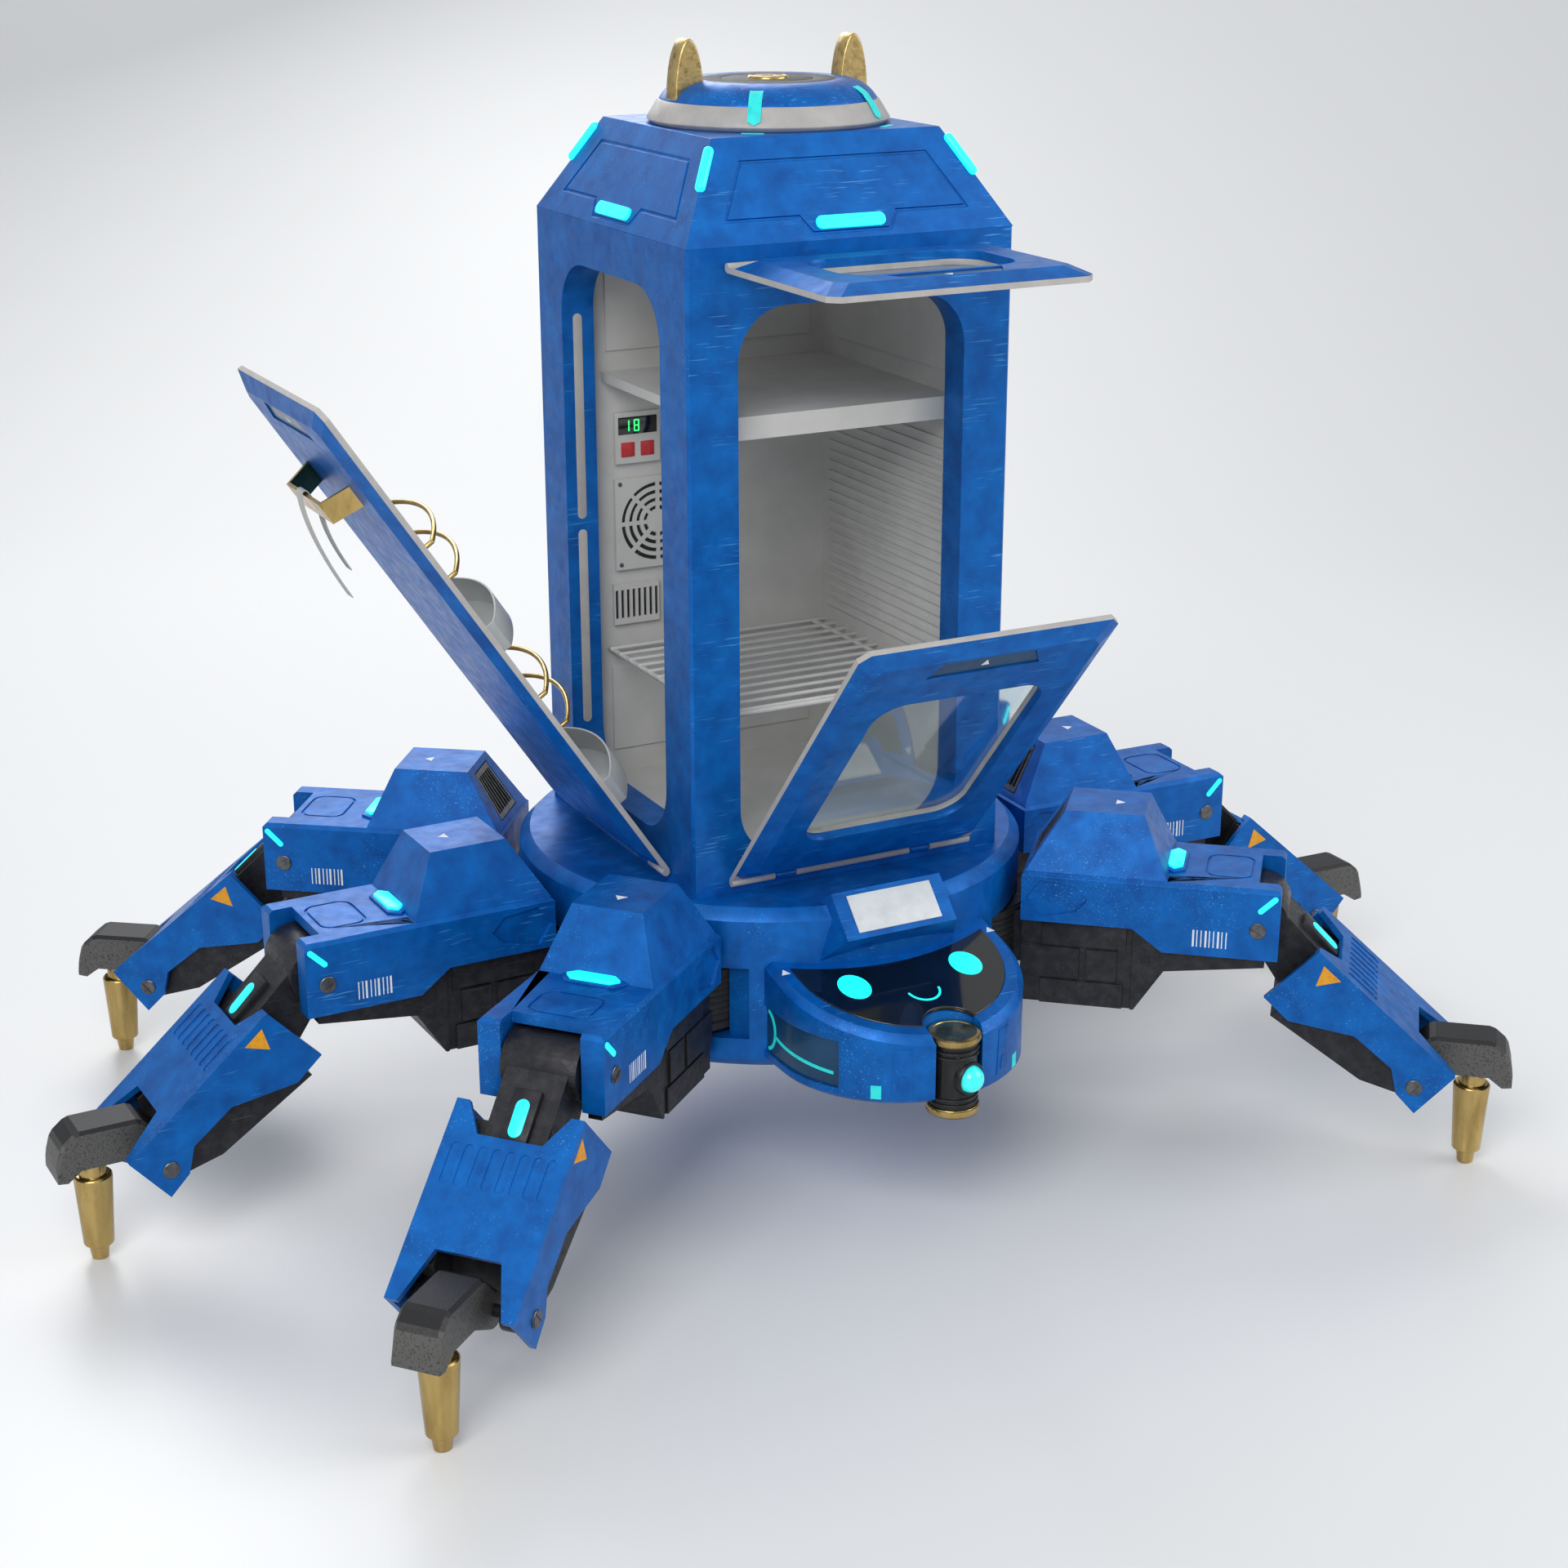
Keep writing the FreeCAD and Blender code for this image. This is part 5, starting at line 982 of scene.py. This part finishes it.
@dataclass
class Cabinet:
    """Drum, cabinet walls and what is fitted inside."""

    wall_y: float = 187.0
    fan: tuple[float, float] = (-92.0, 895.0)
    fan_radius: float = 60.0
    ring_step: float = 12.0
    vent: tuple[float, float, float, float] = (-167.0, -92.0, 740.0, 803.0)
    vent_slots: int = 8
    digits: str = "18"

    def build(self) -> None:
        """Dress the CAD nodes and add the trim."""
        Piece.dress("drum", BLUE_PAINT, 1.5)
        Piece.dress("cabinet_shell", BLUE_PAINT, 3.0)
        Piece.dress("cabinet_liner", LINER, 1.0)
        Piece.dress("cabinet_shelves", LINER, 0.8)
        Piece.dress("cabinet_fan_panel", LINER, 0.6)
        self._sign()
        self._jamb_strips()
        self._fan()
        self._readout()
        self._lights()

    def _sign(self) -> None:
        """Fix the blank plate on the sloped block."""
        top, down = Vector((0, -355.5, 478.0)), Vector((0, -51.0, -53.0)).normalized()
        out = Vector((0, -53.0, 51.0)).normalized()
        corners = [(-67.0, 8.0), (67.0, 8.0), (67.0, 65.0), (-67.0, 65.0)]
        plate = Form().prism([top + down * a + Vector((x, 0, 0)) - out * 0.2 for x, a in corners], out * 2.0)
        plate.finish("sign_plate", SIGN_PLATE, "root", AT_DRUM, 0.7, "light_trim")

    def _jamb_strips(self) -> None:
        """Stick the two pale strips on the rear jamb of the side doorway."""
        strips = Form()
        for low, high in ((602.0, 902.0), (918.0, 1222.0)):
            outline = stadium((-226.0, low + 7), (-226.0, high - 7), 7.0)
            strips.prism([(x, 165.2, z) for x, z in outline], (0, -1.4, 0))
        strips.finish("jamb_strips", LIGHT_TRIM, "root", AT_DRUM, 0.4, "light_trim")

    def _fan(self) -> None:
        """Paint the shade in the depth of the fan's grille and of the vent as dark sheets, and set their
        screws.
        """
        dark = Form()
        turn = Matrix.Translation((self.fan[0], self.wall_y + 3.4, self.fan[1])) @ Matrix.Rotation(
            math.radians(90), 4, "X")
        for i in range(4):
            outer = self.fan_radius - i * self.ring_step - 0.1
            inner = outer - self.ring_step / 2 + 0.2
            dark.turned([(inner, 0), (outer, 0), (outer, -0.6), (inner, -0.6), (inner, 0)], turn)
        low_x, high_x, low_z, high_z = self.vent
        pitch = (high_x - low_x) / self.vent_slots
        for i in range(self.vent_slots):
            x = low_x + (i + 0.25) * pitch
            dark.block((x + 0.1, self.wall_y + 3.2, low_z + pitch), (x + pitch / 2 - 0.1, self.wall_y + 4.2,
                                                                     high_z - pitch))
        dark.finish("grille_painted_shade", BLACK_ENAMEL_AND_SHADE, "root", AT_DRUM, slot="sensor")
        screws = Form()
        spots = [(self.fan[0] + sx * 62, self.fan[1] + sz * 62) for sx in (-1, 1) for sz in (-1, 1)]
        for x, z in spots:
            frame = Matrix.Translation((x, self.wall_y + 0.2, z)) @ Matrix.Rotation(math.radians(90), 4, "X")
            screws.turned([(0, 0), (3.4, 0), (3.2, 1.2), (0, 1.6)], frame, 16)
        screws.finish("fan_screws", STEEL, "root", AT_DRUM, slot="cast_frame")

    def _readout(self) -> None:
        """Fit the readout: a dark window with plain digits over two red buttons."""
        front = self.wall_y
        glass = Form().block((-155.0, front - 1.0, 1032.0), (-92.0, front + 1.0, 1058.0))
        glass.finish("readout_glass", SCREEN_GLASS, "root", AT_DRUM, 0.6, "screen")
        lit = Form()
        segments = {"1": "bc", "8": "abcdefg"}
        bars = {
            "a": (1, 17, 8, 19), "b": (7, 10, 9, 18), "c": (7, 1, 9, 9), "d": (1, 0, 8, 2),
            "e": (0, 1, 2, 9), "f": (0, 10, 2, 18), "g": (1, 8.5, 8, 10.5),
        }
        for place, digit in enumerate(self.digits):
            start = -146.0 + place * 16.0
            for segment in segments[digit]:
                x0, z0, x1, z1 = bars[segment]
                low = (start + x0, front - 1.4, 1036.0 + z0 * 0.95)
                lit.block(low, (start + x1, front - 0.8, 1036.0 + z1 * 0.95))
        lit.finish("readout_digits", GREEN_DIGITS, "root", AT_DRUM, slot="lamp")
        buttons = Form()
        for x in (-140.0, -108.0):
            buttons.block((x - 11.0, front - 1.6, 998.0), (x + 11.0, front + 1.0, 1020.0))
        buttons.finish("readout_buttons", RED_BUTTON, "root", AT_DRUM, 1.2, "light_trim")

    def _lights(self) -> None:
        """Fix a light bar under the ceiling and one under the upper shelf."""
        bars = Form()
        bars.block((-110.0, 120.0, 1328.0), (150.0, 134.0, 1333.0))
        bars.block((-110.0, 120.0, 1110.0), (150.0, 134.0, 1114.2))
        bars.finish("cabinet_light_bars", WHITE_LIGHT, "root", AT_DRUM, 1.0, "lamp")


@dataclass
class Door:
    """One open door panel, drawn flat: X across, Y away from its hinge, Z out of the cabinet."""

    name: str
    base: tuple[float, float, float]
    across: tuple[float, float, float]
    along: tuple[float, float, float]
    angle: float
    length: float
    outside: float = 13.0
    grip_half: float = 86.0
    grip_slant: float = 18.0
    grip_width: float = 32.0
    bevel: float = 24.0
    depth: float = 3.0

    @property
    def place(self) -> Matrix:
        """Give the matrix from the door's own frame, open, to the scene."""
        across, along = Vector(self.across), Vector(self.along)
        axes = Matrix((across, along, across.cross(along))).transposed().to_4x4()
        turn = Matrix.Rotation(math.radians(self.angle), 4, across)
        return AT_DRUM @ Matrix.Translation(Vector(self.base)) @ turn @ axes

    def build(self) -> None:
        """Dress the panel and lay a dark sheet of painted shade in its grip recess."""
        Piece.dress(self.name + "_skin", BLUE_PAINT, 1.5)
        Piece.dress(self.name + "_rim", LIGHT_TRIM, 1.5)
        far = self.length - self.bevel - self.depth
        near = far - self.grip_width
        floor = self.outside - self.depth
        half, slant = self.grip_half, self.grip_slant
        corners = [(-half + 0.6, near + 0.3), (half - 0.6, near + 0.3), (half - slant - 0.4, far - 0.3),
                   (-half + slant + 0.4, far - 0.3)]
        # The dark sheet on the recess floor is painted shade.
        grip_shade_sheet = Form().prism([(x, y, floor - 0.1) for x, y in corners], (0, 0, 0.6))
        grip_shade_sheet.finish(self.name + "_grip_painted_shade", RECESS_SHADE_BLUE, self.name, self.place)
        middle = (near + far) / 2
        arrow = [(-6.0, middle - 5.0), (6.0, middle - 5.0), (0.0, middle + 6.0)]
        mark = Form().prism([(x, y, floor + 0.4) for x, y in arrow], (0, 0, 0.4))
        mark.finish(self.name + "_grip_mark", WHITE_MARK, self.name, self.place)


@dataclass
class Strap:
    """Webbing strap folded over the side door's handle: its two tails hang straight down from the bar."""

    width: float = 22.0
    thickness: float = 1.6
    gap: float = 1.4
    bar_half: float = 17.0
    bar_thickness: float = 5.0
    bar_along: float = 697.0
    bar_out: float = 57.0
    across: float = -4.0
    tails: tuple[float, float] = (84.0, 150.0)
    lean: float = 0.42

    def build(self, place: Matrix) -> None:
        """Lay the strap over the bar.

        Args:
            place: Matrix from the open door's own frame to the scene.
        """
        route = self._route(place)
        mesh = bmesh.new()
        side = (place.to_3x3() @ Vector((1, 0, 0))).normalized() * (self.width / 2 * MM)
        rings = []
        for i, point in enumerate(route):
            ahead = route[min(i + 1, len(route) - 1)] - route[max(i - 1, 0)]
            lift = ahead.cross(side).normalized() * (self.thickness / 2 * MM)
            corners = (point - side - lift, point + side - lift, point + side + lift, point - side + lift)
            rings.append([mesh.verts.new(corner) for corner in corners])
        for near, far in zip(rings, rings[1:]):
            for i in range(4):
                mesh.faces.new((near[i], near[(i + 1) % 4], far[(i + 1) % 4], far[i]))
        mesh.faces.new(rings[0])
        mesh.faces.new(rings[-1][::-1])
        bmesh.ops.recalc_face_normals(mesh, faces=mesh.faces)
        data = bpy.data.meshes.new("handle_strap")
        mesh.to_mesh(data)
        mesh.free()
        for face in data.polygons:
            face.use_smooth = True
        data.set_sharp_from_angle(angle=math.radians(50))
        data.materials.append(WEBBING.material())
        strap = bpy.data.objects.new("handle_strap", data)
        bpy.context.scene.collection.objects.link(strap)
        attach(strap, "side_door")

    def _route(self, place: Matrix) -> list[Vector]:
        """List the strap's middle line in the scene's metres, from one tail's end to the other's.

        Args:
            place: Matrix from the open door's own frame to the scene.

        Returns:
            Points about 6 mm apart or closer.
        """
        away = self.gap + self.thickness / 2
        reach = self.bar_thickness / 2 + away
        loop = []
        for end, first in ((self.bar_half, 90.0), (-self.bar_half, 270.0)):
            for step in range(13):
                angle = math.radians(first - 180.0 * step / 12)
                loop.append((end + reach * math.cos(angle), reach * math.sin(angle)))
        over = [place @ Vector((self.across, self.bar_along + a, self.bar_out - self.bar_thickness / 2 + b))
                for a, b in loop]
        outward = place.to_3x3() @ Vector((0, 0, 1))
        outward = Vector((outward.x, outward.y, 0)).normalized()
        count = len(over)
        upper = max(range(count), key=lambda i: over[i].z)
        inner = min(range(count), key=lambda i: over[i].dot(outward))
        outer = max(range(count), key=lambda i: over[i].dot(outward))
        inside = [over[(upper + i) % count] for i in range((inner - upper) % count + 1)]
        outside = [over[(upper - i) % count] for i in range((upper - outer) % count + 1)]
        tails = []
        for start, length in ((inside[-1], self.tails[0]), (outside[-1], self.tails[1])):
            steps = int(length / 6)
            shares = [i / steps for i in range(1, steps + 1)]
            path = [Vector((0, 0, -s)) - outward * self.lean * s**1.5 for s in shares]
            tails.append([start + length * MM * step for step in path])
        return tails[0][::-1] + inside[::-1] + outside[1:] + tails[1]


@dataclass
class Doors:
    """Side door with its racks, lower window door and upper flap."""

    edge: float = 258.0
    low_hinge: float = 480.0
    high_hinge: float = 1341.0

    def build(self) -> None:
        """Build the three doors."""
        side = Door("side_door", (-self.edge, 0, self.low_hinge), (0, -1, 0), (0, 0, 1), 33.8, 850.0)
        side.build()
        Strap().build(side.place)
        Door("lower_door", (0, -self.edge, self.low_hinge), (1, 0, 0), (0, 0, 1), 40.5, 566.0).build()
        Door("upper_flap", (0, -self.edge, self.high_hinge), (-1, 0, 0), (0, 0, -1), 90.0, 283.0).build()
        Piece.dress("lower_door_glass", PANE, 0.5)
        Piece.dress("upper_flap_glass", PANE, 0.5)
        Piece.dress("side_door_trays", TRAY, 0.8)
        Piece.dress("side_door_rails", BRASS, 0.5)


@dataclass
class Studio:
    """Pale floor, soft lights and the camera at the photograph's angle, in metres."""

    camera_place: tuple[float, float, float] = (-1.74975, -3.34432, 1.8616)
    camera_turn: tuple[float, float, float] = (70.4951, 0.0, -27.7426)
    lens: float = 60.96
    floor_half: float = 12.0
    sweep_start: float = 3.2
    sweep_radius: float = 2.5
    sweep_height: float = 9.0
    floor_drop: float = 0.0005
    lamps: tuple[tuple[str, tuple[float, float, float], float, float], ...] = field(
        default_factory=lambda: (
            ("key_light", (-3.2, -3.6, 4.2), 3.0, 170.0),
            ("fill_light", (3.8, -2.6, 3.0), 3.0, 70.0),
            ("back_light", (0.6, 4.0, 3.6), 3.0, 110.0),
        )
    )

    def build(self) -> None:
        """Make the whole setting."""
        self._sweep()
        self._camera()
        self._world()
        for name, place, size, power in self.lamps:
            self._lamp(name, place, size, power)

    def _sweep(self) -> None:
        """Lay the floor just under the feet and curve it up behind the robot, square to the camera."""
        profile = [(-self.floor_half, 0.0), (self.sweep_start, 0.0)]
        for step in range(1, 13):
            angle = math.radians(90 * step / 12)
            profile.append((self.sweep_start + self.sweep_radius * math.sin(angle),
                            self.sweep_radius * (1 - math.cos(angle))))
        profile.append((self.sweep_start + self.sweep_radius, self.sweep_height))
        form = bmesh.new()
        rows = [[form.verts.new((x, y, z - self.floor_drop)) for y, z in profile]
                for x in (-self.floor_half, self.floor_half)]
        for i in range(len(profile) - 1):
            form.faces.new((rows[0][i], rows[1][i], rows[1][i + 1], rows[0][i + 1]))
        turn = Matrix.Rotation(math.radians(self.camera_turn[2]), 4, "Z")
        bmesh.ops.transform(form, matrix=turn, verts=form.verts)
        mesh = bpy.data.meshes.new("floor")
        form.to_mesh(mesh)
        form.free()
        for face in mesh.polygons:
            face.use_smooth = True
        floor = bpy.data.objects.new("floor", mesh)
        bpy.context.scene.collection.objects.link(floor)
        paint = bpy.data.materials.new("pale_floor")
        paint.use_nodes = True
        shader = paint.node_tree.nodes["Principled BSDF"]
        shader.inputs["Base Color"].default_value = linear("#E6E7E8")
        shader.inputs["Roughness"].default_value = 0.34
        mesh.materials.append(paint)

    def _camera(self) -> None:
        """Set the camera where the photograph was taken."""
        data = bpy.data.cameras.new("camera")
        data.lens = self.lens
        data.sensor_width = 36.0
        data.clip_end = 100.0
        camera = bpy.data.objects.new("camera", data)
        camera.location = self.camera_place
        camera.rotation_euler = [math.radians(a) for a in self.camera_turn]
        bpy.context.scene.collection.objects.link(camera)
        bpy.context.scene.camera = camera

    def _world(self) -> None:
        """Light the scene softly from all round, and show a pale backdrop."""
        world = bpy.data.worlds.new("studio")
        bpy.context.scene.world = world
        world.use_nodes = True
        tree = world.node_tree
        tree.nodes.clear()
        rays = add_node(tree, "LightPath")
        clear = add_node(
            tree,
            "Math",
            {"operation": "MAXIMUM"},
            {0: rays.outputs["Is Camera Ray"], 1: rays.outputs["Is Transmission Ray"]},
        )
        seen = add_node(
            tree,
            "Math",
            {"operation": "MAXIMUM"},
            {0: clear.outputs[0], 1: rays.outputs["Is Glossy Ray"]},
        )
        strength = add_node(tree, "MapRange", {"To Min": 0.55, "To Max": 0.92}, {"Value": seen.outputs[0]})
        light = add_node(tree, "Background", {"Color": linear("#F4F6F8")}, {"Strength": strength.outputs[0]})
        out = add_node(tree, "OutputWorld")
        tree.links.new(light.outputs[0], out.inputs["Surface"])

    def _lamp(self, name: str, place: tuple[float, float, float], size: float, power: float) -> None:
        """Hang a square soft light that faces the robot's middle."""
        data = bpy.data.lights.new(name, "AREA")
        data.size = size
        data.energy = power
        lamp = bpy.data.objects.new(name, data)
        aim = Vector((0, 0, 0.7)) - Vector(place)
        lamp.rotation_euler = aim.to_track_quat("-Z", "Y").to_euler()
        lamp.location = place
        bpy.context.scene.collection.objects.link(lamp)


def main() -> None:
    """Build the robot and its setting."""
    logging.basicConfig(level=logging.INFO, format="%(message)s")
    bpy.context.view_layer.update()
    bpy.context.scene.view_settings.view_transform = "Standard"
    for part in (Cabinet(), Roof(), Head(), Doors(), Legs(), Studio()):
        part.build()
        LOG.info("built %s", type(part).__name__)


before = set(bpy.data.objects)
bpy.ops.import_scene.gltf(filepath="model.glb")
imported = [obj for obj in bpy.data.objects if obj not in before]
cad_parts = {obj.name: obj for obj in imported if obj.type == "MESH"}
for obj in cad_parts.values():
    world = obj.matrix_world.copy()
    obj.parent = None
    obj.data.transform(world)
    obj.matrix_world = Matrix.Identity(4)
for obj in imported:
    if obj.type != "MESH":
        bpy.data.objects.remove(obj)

if __name__ == "__main__":
    main()
